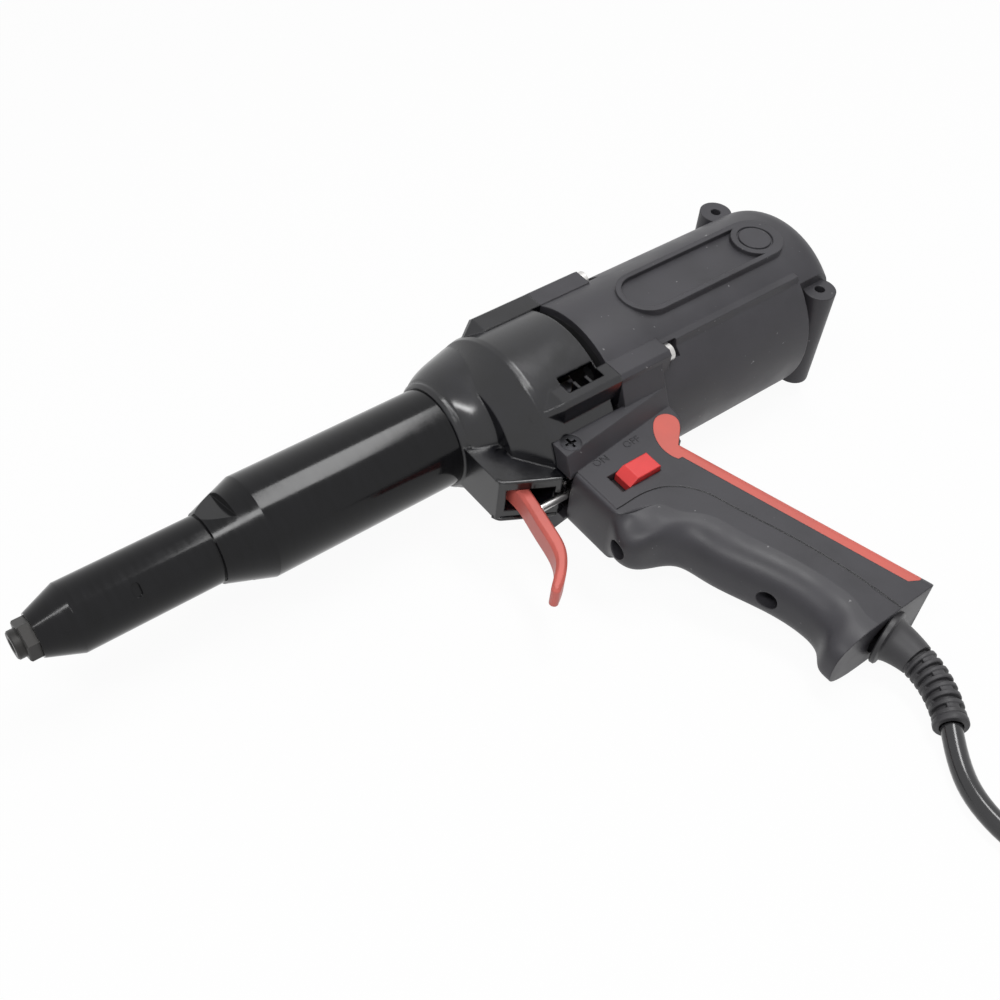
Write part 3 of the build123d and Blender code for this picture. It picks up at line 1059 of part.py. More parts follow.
with BuildPart() as strain_relief:
    extrude(disc(Plane.XY.offset(GRIP_FOOT_Z), BOOT_TOP_D, (BOOT_X, 0)), amount=FOOT_WALL)
    extrude(disc(Plane.XY.offset(GRIP_FOOT_Z - BOOT_FLANGE), BOOT_FLANGE_D, (BOOT_X, 0)), amount=BOOT_FLANGE)
    steps = [(0.0, BOOT_TOP_D), (BOOT_CONE, BOOT_WAIST_D)]
    pitch = (1 - BOOT_CONE - 0.06) / BOOT_RIBS
    for rib in range(BOOT_RIBS):
        start = BOOT_CONE + pitch * rib
        steps += [(start + 0.05 * pitch, BOOT_CORE_D), (start + 0.35 * pitch, BOOT_CORE_D),
                  (start + 0.4 * pitch, BOOT_RIB_D), (start + pitch, BOOT_RIB_D)]
    steps += [(1.0, BOOT_RIB_D)]
    loft([disc(boot_plane(share), diameter) for share, diameter in steps], ruled=True)

# Cord on the surface, in laid axes
lay = Location((0, 0, 0), (degrees(lean) - 90, 0, 0))
floor_z = -CAN_R - MOTOR_DROP * sin(lean)


def laid(point):
    """A point of the tool after it is laid on its side."""
    return (lay * Location(point)).position


leave = (laid(BOOT_END) - laid(BOOT_BEND)).normalized()
route = [laid(BOOT_END), laid(BOOT_END) + leave * FIRST_RUN]
route[1] = Vector(route[1].X, route[1].Y, floor_z + CORD_D / 2 + 0.1)
for run, heading, height in ROUTE:
    last = route[-1]
    step = Vector(run * cos(radians(heading)), run * sin(radians(heading)), 0)
    route.append(Vector(last.X + step.X, last.Y + step.Y, floor_z + height))
radii = []
for before, point, after in zip(route, route[1:], route[2:]):
    turned = radians((point - before).get_angle(after - point))
    radii.append(0.45 * min((point - before).length, (after - point).length) / tan(turned / 2))
print("cord radii", [round(r, 1) for r in radii])
with BuildPart() as cord_lead:
    with BuildLine() as lead_path:
        FilletPolyline(*route, radius=radii)
    wire_tube(lead_path.wires()[0], CORD_D)
lead_length = lead_path.wires()[0].length
print("cord lead", round(lead_length, 1), "volume ratio", cord_lead.part.volume / (pi / 4 * CORD_D**2 * lead_length))

# Put-away coil: one layer spirals in, the next out
heading = radians(ROUTE[-1][1])
coil_centre = route[-1] + Vector(-sin(heading), cos(heading), 0) * COIL_OUT
half_turns = COIL_TURNS / 2


def coil_point(turn_count):
    """The cord's centre line in the coil, by turns from where it enters."""
    radius = COIL_OUT - COIL_PITCH * (half_turns - abs(half_turns - turn_count))
    climb = min(1.0, max(0.0, 2 * (turn_count - half_turns) + 0.5))
    rise = COIL_PITCH * climb * climb * (3 - 2 * climb)
    angle = heading - pi / 2 + 2 * pi * turn_count
    return coil_centre + Vector(radius * cos(angle), radius * sin(angle), rise)


stations = []
for quarter in range(4 * COIL_TURNS + 1):
    here = quarter / 4
    ahead = coil_point(min(COIL_TURNS, here + 0.001)) - coil_point(max(0, here - 0.001))
    stations.append((coil_point(here), ahead.normalized()))
coil_end = coil_point(COIL_TURNS)
tail_end = coil_end + Vector(cos(heading), sin(heading), 0) * COIL_TAIL
with BuildLine() as coil_line:
    add(biarcs(stations))
    Line(coil_end, tail_end)
with BuildPart() as cord_coil:
    coil_wire = coil_line.wires()[0]
    wire_tube(coil_wire, CORD_D)
print("coil length", round(coil_wire.length, 1))
samples = [coil_wire @ (k / 800) for k in range(801)]
far = int(800 / COIL_TURNS * 0.6)
least = min((a - b).length for k, a in enumerate(samples) for b in samples[k + far:])
print("coil least gap", round(least - CORD_D, 2))

# Tie round the coil, opposite its entry
tie_angle = heading + pi / 2
tie_radius = COIL_OUT - COIL_PITCH * half_turns / 2
tie_across = COIL_PITCH * (half_turns - 1) + CORD_D
tie_height = COIL_PITCH + CORD_D
radial = Vector(cos(tie_angle), sin(tie_angle), 0)
tie_plane = Plane(coil_centre + radial * tie_radius + Vector(0, 0, COIL_PITCH / 2), x_dir=radial,
                  z_dir=Vector(-radial.Y, radial.X, 0))
with BuildPart() as coil_tie:
    with BuildSketch(tie_plane.offset(-TIE_WIDTH / 2)):
        RectangleRounded(tie_across + 2 * TIE_THICK, tie_height + 2 * TIE_THICK, CORD_D / 2 + TIE_THICK)
        RectangleRounded(tie_across, tie_height, CORD_D / 2, mode=Mode.SUBTRACT)
    extrude(amount=TIE_WIDTH)

# Flat two-pin plug where the coil ends
plug_axes = Plane(tail_end, x_dir=(cos(heading), sin(heading), 0), z_dir=(0, 0, 1))
with BuildPart() as plug_body:
    with BuildSketch(plug_axes.offset(-PLUG_THICK / 2)):
        with BuildLine():
            Polyline((0, -5), (10, -6.5), (20, -PLUG_WIDTH / 2 + 3), (PLUG_LENGTH, -PLUG_WIDTH / 2),
                     (PLUG_LENGTH, PLUG_WIDTH / 2), (20, PLUG_WIDTH / 2 - 3), (10, 6.5), (0, 5), close=True)
        make_face()
    extrude(amount=PLUG_THICK)
    fillet(plug_body.edges().group_by(Axis.Z)[-1] + plug_body.edges().group_by(Axis.Z)[0], radius=1.8)
with BuildPart() as plug_pins:
    for side in (-1, 1):
        base = plug_axes.from_local_coords((PLUG_LENGTH, side * PIN_SPACING / 2, 0))
        pin_plane = Plane(base, z_dir=(cos(heading), sin(heading), 0))
        extrude(disc(pin_plane, PIN_D), amount=PIN_LENGTH)

# Every piece is laid on its right side, stood on the surface and centred
tool = {
    "nosepiece": nosepiece, "front_sleeve": front_sleeve, "main_barrel": main_barrel, "jaw_case": jaw_case,
    "pull_rod": pull_rod, "jaws": jaws, "jaw_pusher": jaw_pusher, "pusher_spring": pusher_spring,
    "guide_block": guide_block, "draw_screw": draw_screw, "drive_nut": drive_nut, "output_gear": output_gear,
    "nut_radial_bearing": nut_radial_bearing, "nut_thrust_bearing": nut_thrust_bearing,
    "countershaft": countershaft, "countershaft_gear": countershaft_gear,
    "countershaft_bushes": countershaft_bushes, "gear_plate": gear_plate, "armature_shaft": armature_shaft,
    "armature_core": armature_core, "armature_windings": armature_windings, "commutator": commutator,
    "cooling_fan": cooling_fan, "motor_front_bearing": motor_front_bearing,
    "motor_rear_bearing": motor_rear_bearing, "stator_core": stator_core, "field_coils": field_coils,
    "brush_holders": brush_holders, "carbon_brushes": carbon_brushes, "gearcase": gearcase, "trigger": trigger,
    "trigger_pin": trigger_pin, "switch_plunger": switch_plunger, "trigger_spring": trigger_spring,
    "trigger_switch": trigger_switch, "grip_strip": grip_strip, "handle_cover": handle_cover,
    "motor_housing": motor_housing, "lug_screws": lug_screws, "side_screw": side_screw,
    "cover_screws": cover_screws, "slide_knob": slide_knob, "slide_switch_body": slide_switch_body,
    "cord_clamp": cord_clamp, "clamp_screws": clamp_screws, "inner_cord": inner_cord,
}
cord = {
    "cord_lead": cord_lead, "cord_coil": cord_coil, "coil_tie": coil_tie, "plug_body": plug_body,
    "plug_pins": plug_pins,
}
laid_tool = {name: lay * piece.part for name, piece in tool.items()}
boxes = [solid.bounding_box() for solid in laid_tool.values()]
low = [min(getattr(box.min, axis) for box in boxes) for axis in "XYZ"]
high = [max(getattr(box.max, axis) for box in boxes) for axis in "XYZ"]
stand = Location((-(low[0] + high[0]) / 2, -(low[1] + high[1]) / 2, -low[2]))
print("stand", stand.position, "lean", degrees(lean), "floor", floor_z, low, high)
cord["strain_relief"] = strain_relief
os.makedirs("parts", exist_ok=True)
for name, solid in laid_tool.items():
    placed = stand * solid
    placed.label = name
    export_step(placed, f"parts/{name}.step")
for name, piece in cord.items():
    placed = stand * (lay * piece.part if name == "strain_relief" else piece.part)
    placed.label = name
    export_step(placed, f"parts/{name}.step")
for name, piece in {**tool, **cord}.items():
    print(name, round(piece.part.volume, 1), len(piece.part.solids()), piece.part.is_valid)
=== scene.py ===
"""Looks of the corded blind riveter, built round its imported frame. Metres, unless a comment says mm."""

import json
from math import cos, pi, radians, sin

import bpy
from mathutils import Matrix, Vector


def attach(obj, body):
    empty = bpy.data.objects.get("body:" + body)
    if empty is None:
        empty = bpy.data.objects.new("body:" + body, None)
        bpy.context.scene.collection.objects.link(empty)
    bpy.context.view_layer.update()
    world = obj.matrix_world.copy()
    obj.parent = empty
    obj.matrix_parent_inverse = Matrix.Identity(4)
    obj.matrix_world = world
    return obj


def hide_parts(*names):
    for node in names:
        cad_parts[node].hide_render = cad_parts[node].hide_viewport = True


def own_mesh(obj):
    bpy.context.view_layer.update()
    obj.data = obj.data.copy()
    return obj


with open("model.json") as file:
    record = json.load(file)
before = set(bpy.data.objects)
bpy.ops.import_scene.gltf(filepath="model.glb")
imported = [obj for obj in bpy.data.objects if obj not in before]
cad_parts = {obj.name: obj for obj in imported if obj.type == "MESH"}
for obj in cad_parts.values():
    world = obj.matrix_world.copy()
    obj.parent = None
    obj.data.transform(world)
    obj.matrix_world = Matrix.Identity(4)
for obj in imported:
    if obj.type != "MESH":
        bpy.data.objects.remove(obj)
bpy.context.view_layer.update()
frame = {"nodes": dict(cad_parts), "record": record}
nodes = frame["nodes"]
scene = bpy.context.scene

# The tool's own axes, in mm: x to the rear, y to its right side, z up. It lies on its right side.
LEAN = radians(9.35483)
STAND = Vector((49.4, 62.3695, 37.3605))
MM_PER_METRE = 1000
SIDES = ((-1, "left"), (1, "right"))


def way(x, y, z):
    """A direction of the tool in the frame."""
    return Vector((x, sin(LEAN) * y + cos(LEAN) * z, sin(LEAN) * z - cos(LEAN) * y))


def spot(x, y, z):
    """A point of the tool, in mm, as a point of the frame in metres."""
    return (way(x, y, z) + STAND) / MM_PER_METRE


def placed(place, right, up):
    """The matrix that puts something at a place, with its own x and y along two directions."""
    return Matrix.Translation(place) @ Matrix((right, up, right.cross(up))).transposed().to_4x4()


def shown(name, data):
    """A new object in the scene."""
    obj = bpy.data.objects.new(name, data)
    scene.collection.objects.link(obj)
    return obj


# Camera, placed in mm
LENS_MM = 46.53
SENSOR_MM = 36
CAMERA_PLACE = spot(-259.5, -341.4, -257.4)
CAMERA_RIGHT = way(0.78393, -0.07841, -0.61588)
CAMERA_UP = way(0.42411, -0.65684, 0.62345)
camera = shown("camera", bpy.data.cameras.new("camera"))
camera.data.lens = LENS_MM
camera.data.sensor_width = SENSOR_MM
camera.matrix_world = placed(CAMERA_PLACE, CAMERA_RIGHT, CAMERA_UP)
scene.camera = camera


# Materials
BLACK = (0, 0, 0)
WHITE = (1, 1, 1)
UNSTRETCHED = (1, 1, 1)
TURNED = (0.05, 1, 1)
COAT_ROUGHNESS = 0.06
PATCH_DETAIL = 6.0
PATCH_START = 0.35
PATCH_END = 0.65
GLOSS_SPREAD = 0.15
GRAIN_DETAIL = 3.0
SPECK_SCALE = 420
SPECK_DETAIL = 2.0
SPECK_START = 0.74
SPECK_END = 0.78


def new_material(name):
    """A node material, its nodes, its links and its shader."""
    material = bpy.data.materials.new(name)
    material.use_nodes = True
    tree, links = material.node_tree.nodes, material.node_tree.links
    return material, tree, links, tree["Principled BSDF"]


def noise(tree, links, scale, detail, stretch=UNSTRETCHED):
    """Noise in the object's own coordinates, stretched along an axis where asked."""
    place = tree.new("ShaderNodeTexCoord")
    turn = tree.new("ShaderNodeMapping")
    turn.inputs["Scale"].default_value = stretch
    grain = tree.new("ShaderNodeTexNoise")
    grain.inputs["Scale"].default_value = scale
    grain.inputs["Detail"].default_value = detail
    links.new(place.outputs["Object"], turn.inputs["Vector"])
    links.new(turn.outputs["Vector"], grain.inputs["Vector"])
    return grain.outputs["Fac"]


def ramp(tree, links, source, low, high, start=PATCH_START, end=PATCH_END):
    """Maps a grey value to a range of colours."""
    node = tree.new("ShaderNodeValToRGB")
    first, last = node.color_ramp.elements
    first.position = start
    first.color = (*low, 1)
    last.position = end
    last.color = (*high, 1)
    links.new(source, node.inputs["Fac"])
    return node.outputs["Color"]


def shade(colour, factor):
    """A colour made brighter or darker by a factor."""
    return tuple(channel * factor for channel in colour)


def dusted(tree, links, tint, colour):
    """The tint with specks of a second colour."""
    specks = noise(tree, links, SPECK_SCALE, SPECK_DETAIL)
    mask = ramp(tree, links, specks, BLACK, WHITE, SPECK_START, SPECK_END)
    mix = tree.new("ShaderNodeMixRGB")
    mix.inputs["Color2"].default_value = (*colour, 1)
    links.new(mask, mix.inputs["Fac"])
    links.new(tint, mix.inputs["Color1"])
    return mix.outputs["Color"]


def finish_of(name, colour, rough, metallic=0.0, specular=0.5, coat=0.0, spread=0.2, blotch=60, grain=2500,
              depth=0.00004, grain_strength=0.3, edge=0.0003, stretch=UNSTRETCHED, dust=0.0):
    """A surface with blotches of colour, uneven gloss, a fine grain and slightly rounded edges."""
    material, tree, links, shader = new_material(name)
    shader.inputs["Metallic"].default_value = metallic
    shader.inputs["Specular IOR Level"].default_value = specular
    shader.inputs["Coat Weight"].default_value = coat
    shader.inputs["Coat Roughness"].default_value = COAT_ROUGHNESS
    patches = noise(tree, links, blotch, PATCH_DETAIL, stretch)
    tint = ramp(tree, links, patches, shade(colour, 1 - spread), shade(colour, 1 + spread))
    if dust:
        tint = dusted(tree, links, tint, [channel + dust for channel in colour])
    links.new(tint, shader.inputs["Base Color"])
    smooth, dull = rough * (1 - GLOSS_SPREAD), min(1, rough * (1 + GLOSS_SPREAD))
    gloss = ramp(tree, links, patches, shade(WHITE, smooth), shade(WHITE, dull))
    links.new(gloss, shader.inputs["Roughness"])
    bevel = tree.new("ShaderNodeBevel")
    bevel.inputs["Radius"].default_value = edge
    bump = tree.new("ShaderNodeBump")
    bump.inputs["Strength"].default_value = grain_strength
    bump.inputs["Distance"].default_value = depth
    links.new(noise(tree, links, grain, GRAIN_DETAIL, stretch), bump.inputs["Height"])
    links.new(bevel.outputs["Normal"], bump.inputs["Normal"])
    links.new(bump.outputs["Normal"], shader.inputs["Normal"])
    return material


FINISHES = {
    "nose_black": dict(colour=(0.03, 0.029, 0.028), rough=0.38, metallic=0.6, grain=900, depth=0.00003),
    "barrel_black": dict(colour=(0.004, 0.004, 0.005), rough=0.14, specular=0.25, blotch=90, grain=1400,
                         depth=0.00001, stretch=(6, 1, 1), edge=0.0002),
    "case_black": dict(colour=(0.004, 0.004, 0.006), rough=0.19, specular=0.6, spread=0.3, blotch=120,
                       grain=700, depth=0.00003, edge=0.0009),
    "housing_grey": dict(colour=(0.041, 0.0397, 0.0455), rough=0.44, specular=0.34, spread=0.12, grain=2600,
                         depth=0.00005, grain_strength=0.35, edge=0.0008, dust=0.16),
    "trigger_red": dict(colour=(0.62, 0.13, 0.105), rough=0.42, spread=0.08, grain=1800, edge=0.0008),
    "switch_red": dict(colour=(0.68, 0.04, 0.04), rough=0.35, spread=0.1, grain=1500, edge=0.0004),
    "strip_red": dict(colour=(0.6, 0.125, 0.1), rough=0.55, spread=0.08, grain=3200, edge=0.0006),
    "screw_steel": dict(colour=(0.55, 0.54, 0.53), rough=0.28, metallic=1.0, grain=1600, edge=0.0002),
    "black_screw": dict(colour=(0.06, 0.06, 0.065), rough=0.35, metallic=1.0, grain=1600, edge=0.0002),
    "inner_steel": dict(colour=(0.46, 0.46, 0.48), rough=0.3, metallic=1.0, grain=900, stretch=TURNED),
    "spring_steel": dict(colour=(0.52, 0.52, 0.54), rough=0.25, metallic=1.0, grain=1500),
    "bearing_steel": dict(colour=(0.6, 0.6, 0.62), rough=0.16, metallic=1.0, grain=1200),
    "bronze": dict(colour=(0.52, 0.34, 0.14), rough=0.34, metallic=1.0, grain=900, stretch=TURNED),
    "brass": dict(colour=(0.66, 0.48, 0.2), rough=0.3, metallic=1.0, grain=900),
    "copper": dict(colour=(0.58, 0.24, 0.11), rough=0.36, metallic=1.0, grain=700, stretch=(1, 4, 4)),
    "laminations": dict(colour=(0.13, 0.13, 0.14), rough=0.5, metallic=0.8, grain=2200,
                        stretch=(1, 0.02, 0.02)),
    "carbon": dict(colour=(0.03, 0.03, 0.032), rough=0.7, grain=1800),
    "black_plastic": dict(colour=(0.022, 0.022, 0.024), rough=0.5, grain=1800),
    "boot_rubber": dict(colour=(0.04, 0.039, 0.042), rough=0.48, specular=0.4, grain=2200, edge=0.0004),
    "cord_black": dict(colour=(0.016, 0.016, 0.018), rough=0.2, coat=0.2, grain=900, depth=0.00001),
    "tie_black": dict(colour=(0.025, 0.025, 0.025), rough=0.5, grain=1500),
    "plug_black": dict(colour=(0.02, 0.02, 0.021), rough=0.45, grain=2200, edge=0.0008),
    "pin_metal": dict(colour=(0.7, 0.69, 0.66), rough=0.2, metallic=1.0, grain=1200),
}
looks = {name: finish_of(name, **finish) for name, finish in FINISHES.items()}
for part in frame["record"]["subparts"]:
    mesh = nodes[part["node"]].data
    mesh.materials.clear()
    mesh.materials.append(looks[part["material_slot"]])


# Round curves, used for the cord, the beads and the painted shade along the grip's joint
def new_curve(name, radius, roundness, look):
    """A round curve of one look, still without a line."""
    curve = bpy.data.curves.new(name, "CURVE")
    curve.dimensions = "3D"
    curve.bevel_depth = radius
    curve.bevel_resolution = roundness
    curve.materials.append(looks[look])
    return shown(name, curve)


def draw_near(curve, places):
    """Adds a smooth line that starts and ends at the outer places and runs close to the others."""
    curve.use_fill_caps = True
    line = curve.splines.new("NURBS")
    line.points.add(len(places) - 1)
    for point, place in zip(line.points, places):
        point.co = (*place, 1)
    line.order_u = 3
    line.use_endpoint_u = True


def draw_through(curve, places):
    """Adds a smooth line through all the places."""
    line = curve.splines.new("BEZIER")
    line.bezier_points.add(len(places) - 1)
    for point, place in zip(line.bezier_points, places):
        point.co = place
        point.handle_left_type = "AUTO"
        point.handle_right_type = "AUTO"


# Cord: the route's points, then the turns of the coil, on one line. The coil winds inward in its lower layer,
# climbs within part of a turn and winds outward again in the upper one.
CORD_RADIUS = 0.0035
CORD_ROUNDNESS = 6
CORD_STEPS = 6
COIL_CENTRE = Vector((0.1758, -0.2273, 0.0052))
COIL_RADIUS = 0.055
COIL_PITCH = 0.0076
COIL_TURNS = 8
COIL_HEADING = radians(320)
CLIMB_TURNS = 0.5
POINTS_PER_TURN = 16
OUTSET = 1 / cos(pi / POINTS_PER_TURN)
TAIL_POINTS = (0.02, 0.04)
route = [
    (0.0554, -0.1287, 0.0063), (0.0474, -0.1376, 0.0036), (0.0394, -0.1514, 0.0036),
    (0.0369, -0.1693, 0.0036), (0.0413, -0.1867, 0.0036), (0.0530, -0.2029, 0.0036),
    (0.0767, -0.2214, 0.0036), (0.1098, -0.2437, 0.0042),
]
for step in range(POINTS_PER_TURN * COIL_TURNS + 1):
    turns = step / POINTS_PER_TURN
    inward = COIL_TURNS / 2 - abs(COIL_TURNS / 2 - turns)
    climb = min(1.0, max(0.0, (turns - COIL_TURNS / 2) / CLIMB_TURNS + 0.5))
    radius = (COIL_RADIUS - COIL_PITCH * inward) * OUTSET
    angle = COIL_HEADING - pi / 2 + 2 * pi * turns
    rise = COIL_PITCH * climb * climb * (3 - 2 * climb)
    route.append(COIL_CENTRE + Vector((radius * cos(angle), radius * sin(angle), rise)))
forward = Vector((cos(COIL_HEADING), sin(COIL_HEADING), 0))
tail = COIL_CENTRE + Vector((COIL_RADIUS * forward.y, -COIL_RADIUS * forward.x, COIL_PITCH))
route += [tail + forward * length for length in TAIL_POINTS]
cord = new_curve("cord", CORD_RADIUS, CORD_ROUNDNESS, "cord_black")
cord.data.resolution_u = CORD_STEPS
draw_near(cord.data, route)
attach(cord, "tool_body")
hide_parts("cord_lead", "cord_coil")


# Strain relief, in mm: flange, smooth cone, then rings joined by webs on alternate sides, and a flared end.
# Its line is a curve from start to end, pulled towards the bend, and shares are shares of that curve.
BOOT_START = Vector((16.6, 0.0, -159.5))
BOOT_BEND = Vector((20.4, -0.2, -177.5))
BOOT_END = Vector((6.0, -0.4, -193.6))
BOOT_SIDES = 96
BOOT_SHARP = radians(35)
FLANGE = [(-0.075, 9.5), (-0.062, 10.0), (-0.016, 10.0), (-0.004, 9.5), (0.0, 8.4), (0.01, 8.0)]
FLARED_END = [(0.945, 5.6), (0.955, 5.8), (0.99, 5.8), (1.0, 5.5), (1.002, 3.9), (0.97, 3.6)]
CONE_SHARE = 0.3
CONE_RADIUS = 8.0
CONE_FALL = 1.9
CONE_HOLLOW = 0.8
CONE_STEPS = 6
RINGS = 8
RINGS_END_SHARE = 0.94
RING_RADIUS = 6.1
RING_FALL = 0.6
GAP_RADIUS = 4.3
WEB_DROP = 0.3
WEB_COSINE = 0.9
# In shares of the rings' pitch: where a gap starts and ends, and a ring's profile with its drops in mm
GAP = (0.02, 0.42)
RING = [(0.46, 0.25), (0.54, 0.0), (0.9, 0.0), (0.98, 0.25)]


def boot_ring(share, radii):
    """One cross section of the boot, with its own radius in each direction."""
    rest = 1 - share
    centre = BOOT_START * rest**2 + BOOT_BEND * (2 * rest * share) + BOOT_END * share**2
    along = ((BOOT_BEND - BOOT_START) * rest + (BOOT_END - BOOT_BEND) * share).normalized()
    across = Vector((0, 1, 0)).cross(along).normalized()
    third = along.cross(across)
    section = []
    for side, radius in enumerate(radii):
        angle = 2 * pi * side / len(radii)
        section.append(spot(*(centre + across * (radius * cos(angle)) + third * (radius * sin(angle)))))
    return section


def gap_radii(number, web):
    """A gap between two rings: webs on two opposite sides, turned a quarter from gap to gap."""
    radii = []
    for side in range(BOOT_SIDES):
        angle = 2 * pi * side / BOOT_SIDES + (pi / 2) * (number % 2)
        radii.append(web if abs(cos(angle)) > WEB_COSINE else GAP_RADIUS)
    return radii


def round_section(share, radius):
    """A section with the same radius all round."""
    return share, [radius] * BOOT_SIDES


sections = [round_section(share, radius) for share, radius in FLANGE]
for step in range(1, CONE_STEPS + 1):
    share = CONE_SHARE * step / CONE_STEPS
    sections.append(round_section(share, CONE_RADIUS - CONE_FALL * (share / CONE_SHARE) ** CONE_HOLLOW))
ring_pitch = (RINGS_END_SHARE - CONE_SHARE) / RINGS
for ring in range(RINGS):
    start = CONE_SHARE + ring_pitch * ring
    slim = RING_RADIUS - RING_FALL * ring / RINGS
    sections += [(start + at * ring_pitch, gap_radii(ring, slim - WEB_DROP)) for at in GAP]
    sections += [round_section(start + at * ring_pitch, slim - drop) for at, drop in RING]
sections += [round_section(share, radius) for share, radius in FLARED_END]
boot_points = [point for share, radii in sections for point in boot_ring(share, radii)]
boot_faces = []
for row in range(len(sections) - 1):
    for side in range(BOOT_SIDES):
        here, beside = row * BOOT_SIDES + side, row * BOOT_SIDES + (side + 1) % BOOT_SIDES
        boot_faces.append((here, beside, beside + BOOT_SIDES, here + BOOT_SIDES))
boot_faces.append(tuple(reversed(range(BOOT_SIDES))))
boot_mesh = bpy.data.meshes.new("boot")
boot_mesh.from_pydata(boot_points, [], boot_faces)
boot_mesh.polygons.foreach_set("use_smooth", [True] * len(boot_mesh.polygons))
boot_mesh.set_sharp_from_angle(angle=BOOT_SHARP)
boot_mesh.materials.append(looks["boot_rubber"])
boot = shown("boot", boot_mesh)
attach(boot, "tool_body")
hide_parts("strain_relief")


# Springs: each spring's mesh is copied into its own object, carried by its body, and the CAD spring is hidden
for name, body, joint, kept in (("trigger_spring", "tool_body", "trigger_pull", 0.5),
                                ("pusher_spring", "jaw_carriage", "jaw_open", 0.74)):
    wire = shown(name + "_wire", nodes[name].data.copy())
    wire.matrix_world = nodes[name].matrix_world
    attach(wire, body)
    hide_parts(name)
    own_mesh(wire)


# Floor, light and background
FILL_LIGHT = 0.2
FLOOR_HALF = 4
PAPER_GREY = 0.86
PAPER_ROUGHNESS = 0.9
PAPER_GLOW = 0.95
LAMP_AIM = Vector((0.0, 0.0, 0.03))


def white_to_the_eye(tree, links, lit, white):
    """A shader that shows as white to the camera and in reflections, and as lit otherwise."""
    path = tree.new("ShaderNodeLightPath")
    seen = path.outputs["Is Camera Ray"]
    for ray in ("Is Glossy Ray", "Is Transmission Ray"):
        larger = tree.new("ShaderNodeMath")
        larger.operation = "MAXIMUM"
        links.new(seen, larger.inputs[0])
        links.new(path.outputs[ray], larger.inputs[1])
        seen = larger.outputs[0]
    mix = tree.new("ShaderNodeMixShader")
    links.new(seen, mix.inputs["Fac"])
    links.new(lit, mix.inputs[1])
    links.new(white, mix.inputs[2])
    return mix.outputs["Shader"]


world = bpy.data.worlds.new("studio")
scene.world = world
world.use_nodes = True
tree, links = world.node_tree.nodes, world.node_tree.links
fill = tree["Background"]
blank = tree.new("ShaderNodeBackground")
for background, strength in ((fill, FILL_LIGHT), (blank, 1.0)):
    background.inputs["Color"].default_value = (*WHITE, 1)
    background.inputs["Strength"].default_value = strength
sky = white_to_the_eye(tree, links, fill.outputs[0], blank.outputs[0])
links.new(sky, tree["World Output"].inputs["Surface"])

floor_corners = [(-FLOOR_HALF, -FLOOR_HALF, 0), (FLOOR_HALF, -FLOOR_HALF, 0),
                 (FLOOR_HALF, FLOOR_HALF, 0), (-FLOOR_HALF, FLOOR_HALF, 0)]
floor_mesh = bpy.data.meshes.new("floor")
floor_mesh.from_pydata(floor_corners, [], [(0, 1, 2, 3)])
floor = shown("floor", floor_mesh)
paper, tree, links, shader = new_material("paper")
shader.inputs["Base Color"].default_value = (*shade(WHITE, PAPER_GREY), 1)
shader.inputs["Roughness"].default_value = PAPER_ROUGHNESS
glow = tree.new("ShaderNodeEmission")
glow.inputs["Strength"].default_value = 1.0
partly = tree.new("ShaderNodeMixShader")
partly.inputs["Fac"].default_value = PAPER_GLOW
links.new(shader.outputs[0], partly.inputs[1])
links.new(glow.outputs[0], partly.inputs[2])
sheet = white_to_the_eye(tree, links, shader.outputs[0], partly.outputs[0])
links.new(sheet, tree["Material Output"].inputs["Surface"])
floor_mesh.materials.append(paper)


def softbox(name, place, width, depth, radiance):
    """A rectangular lamp of an even radiance, turned to the tool."""
    lamp = bpy.data.lights.new(name, "AREA")
    lamp.shape = "RECTANGLE"
    lamp.size = width
    lamp.size_y = depth
    lamp.energy = radiance * pi * width * depth
    aim = (LAMP_AIM - Vector(place)).normalized()
    turn = aim.to_track_quat("-Z", "Y").to_matrix().to_4x4()
    shown(name, lamp).matrix_world = Matrix.Translation(place) @ turn


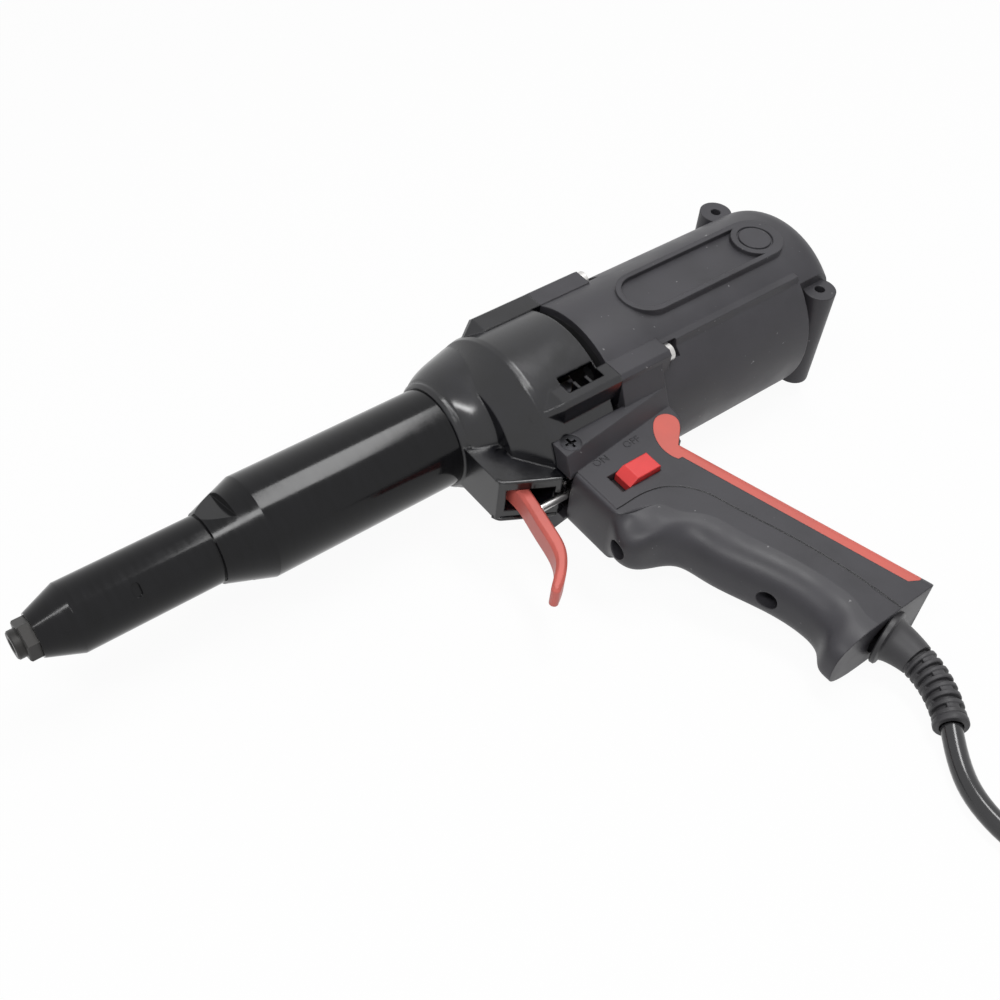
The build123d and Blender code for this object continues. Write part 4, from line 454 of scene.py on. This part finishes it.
softbox("overhead", (0.4, -0.05, 1.25), width=0.8, depth=0.27, radiance=12.0)
softbox("left_front", (-0.5, -0.35, 1.0), width=0.8, depth=0.16, radiance=15.0)


# Rolled bead along the lower edge of each trigger cheek: its (x, z) line and how far out it lies, in mm
BEAD_LINE = [
    (-54.2, -36.4), (-53.6, -38.6), (-51.4, -39.9), (-44.6, -43.5), (-37.6, -47.1), (-34.6, -48.4),
]
BEAD_OUT = 9.5
BEAD_RADIUS = 0.0008
BEAD_ROUNDNESS = 4
for side, side_name in SIDES:
    bead = new_curve("cheek_bead_" + side_name, BEAD_RADIUS, BEAD_ROUNDNESS, "case_black")
    draw_near(bead.data, [spot(x, side * BEAD_OUT, z) for x, z in BEAD_LINE])
    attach(bead, "tool_body")


# Painted shade of the narrow gap at the joint between the two halves of the grip, as a thin dark tube: the
# seam's own (x, z) points and how far out it lies, in mm
JOINT_LINE = [
    (-29.8, -71.6), (-14.0, -71.8), (-6.7, -74.7), (0.2, -81.7),
    (4.9, -94.3), (13.2, -119.7), (18.4, -144.4), (19.9, -156.6),
]
JOINT_OUT = 11.85
JOINT_SHADE_RADIUS = 0.00028
JOINT_ROUNDNESS = 2
for side, side_name in SIDES:
    # A thin tube in the barrel's black that paints the shade inside the joint's gap
    joint = new_curve("grip_joint_shade_" + side_name, JOINT_SHADE_RADIUS, JOINT_ROUNDNESS, "barrel_black")
    draw_through(joint.data, [spot(x, side * JOINT_OUT, z) for x, z in JOINT_LINE])
    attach(joint, "tool_body")


# ON and OFF beside the slide switch, on the left face of the neck
NECK_FACE_MM = -12.0
WORD_SIZE = 0.0042
WORD_RAISE = 0.00012


def word(text, x, z):
    """A raised word with its middle at a place in mm."""
    letters = bpy.data.curves.new("word_" + text.lower(), "FONT")
    letters.body = text
    letters.size = WORD_SIZE
    letters.extrude = WORD_RAISE
    letters.align_x = "CENTER"
    letters.align_y = "CENTER"
    letters.materials.append(looks["housing_grey"])
    mark = shown("word_" + text.lower(), letters)
    mark.matrix_world = placed(spot(x, NECK_FACE_MM, z), way(1, 0, 0), way(0, 0, 1))
    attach(mark, "tool_body")


word("ON", -19.6, -51.6)
word("OFF", -4.2, -50.8)

scene.view_settings.view_transform = "Standard"
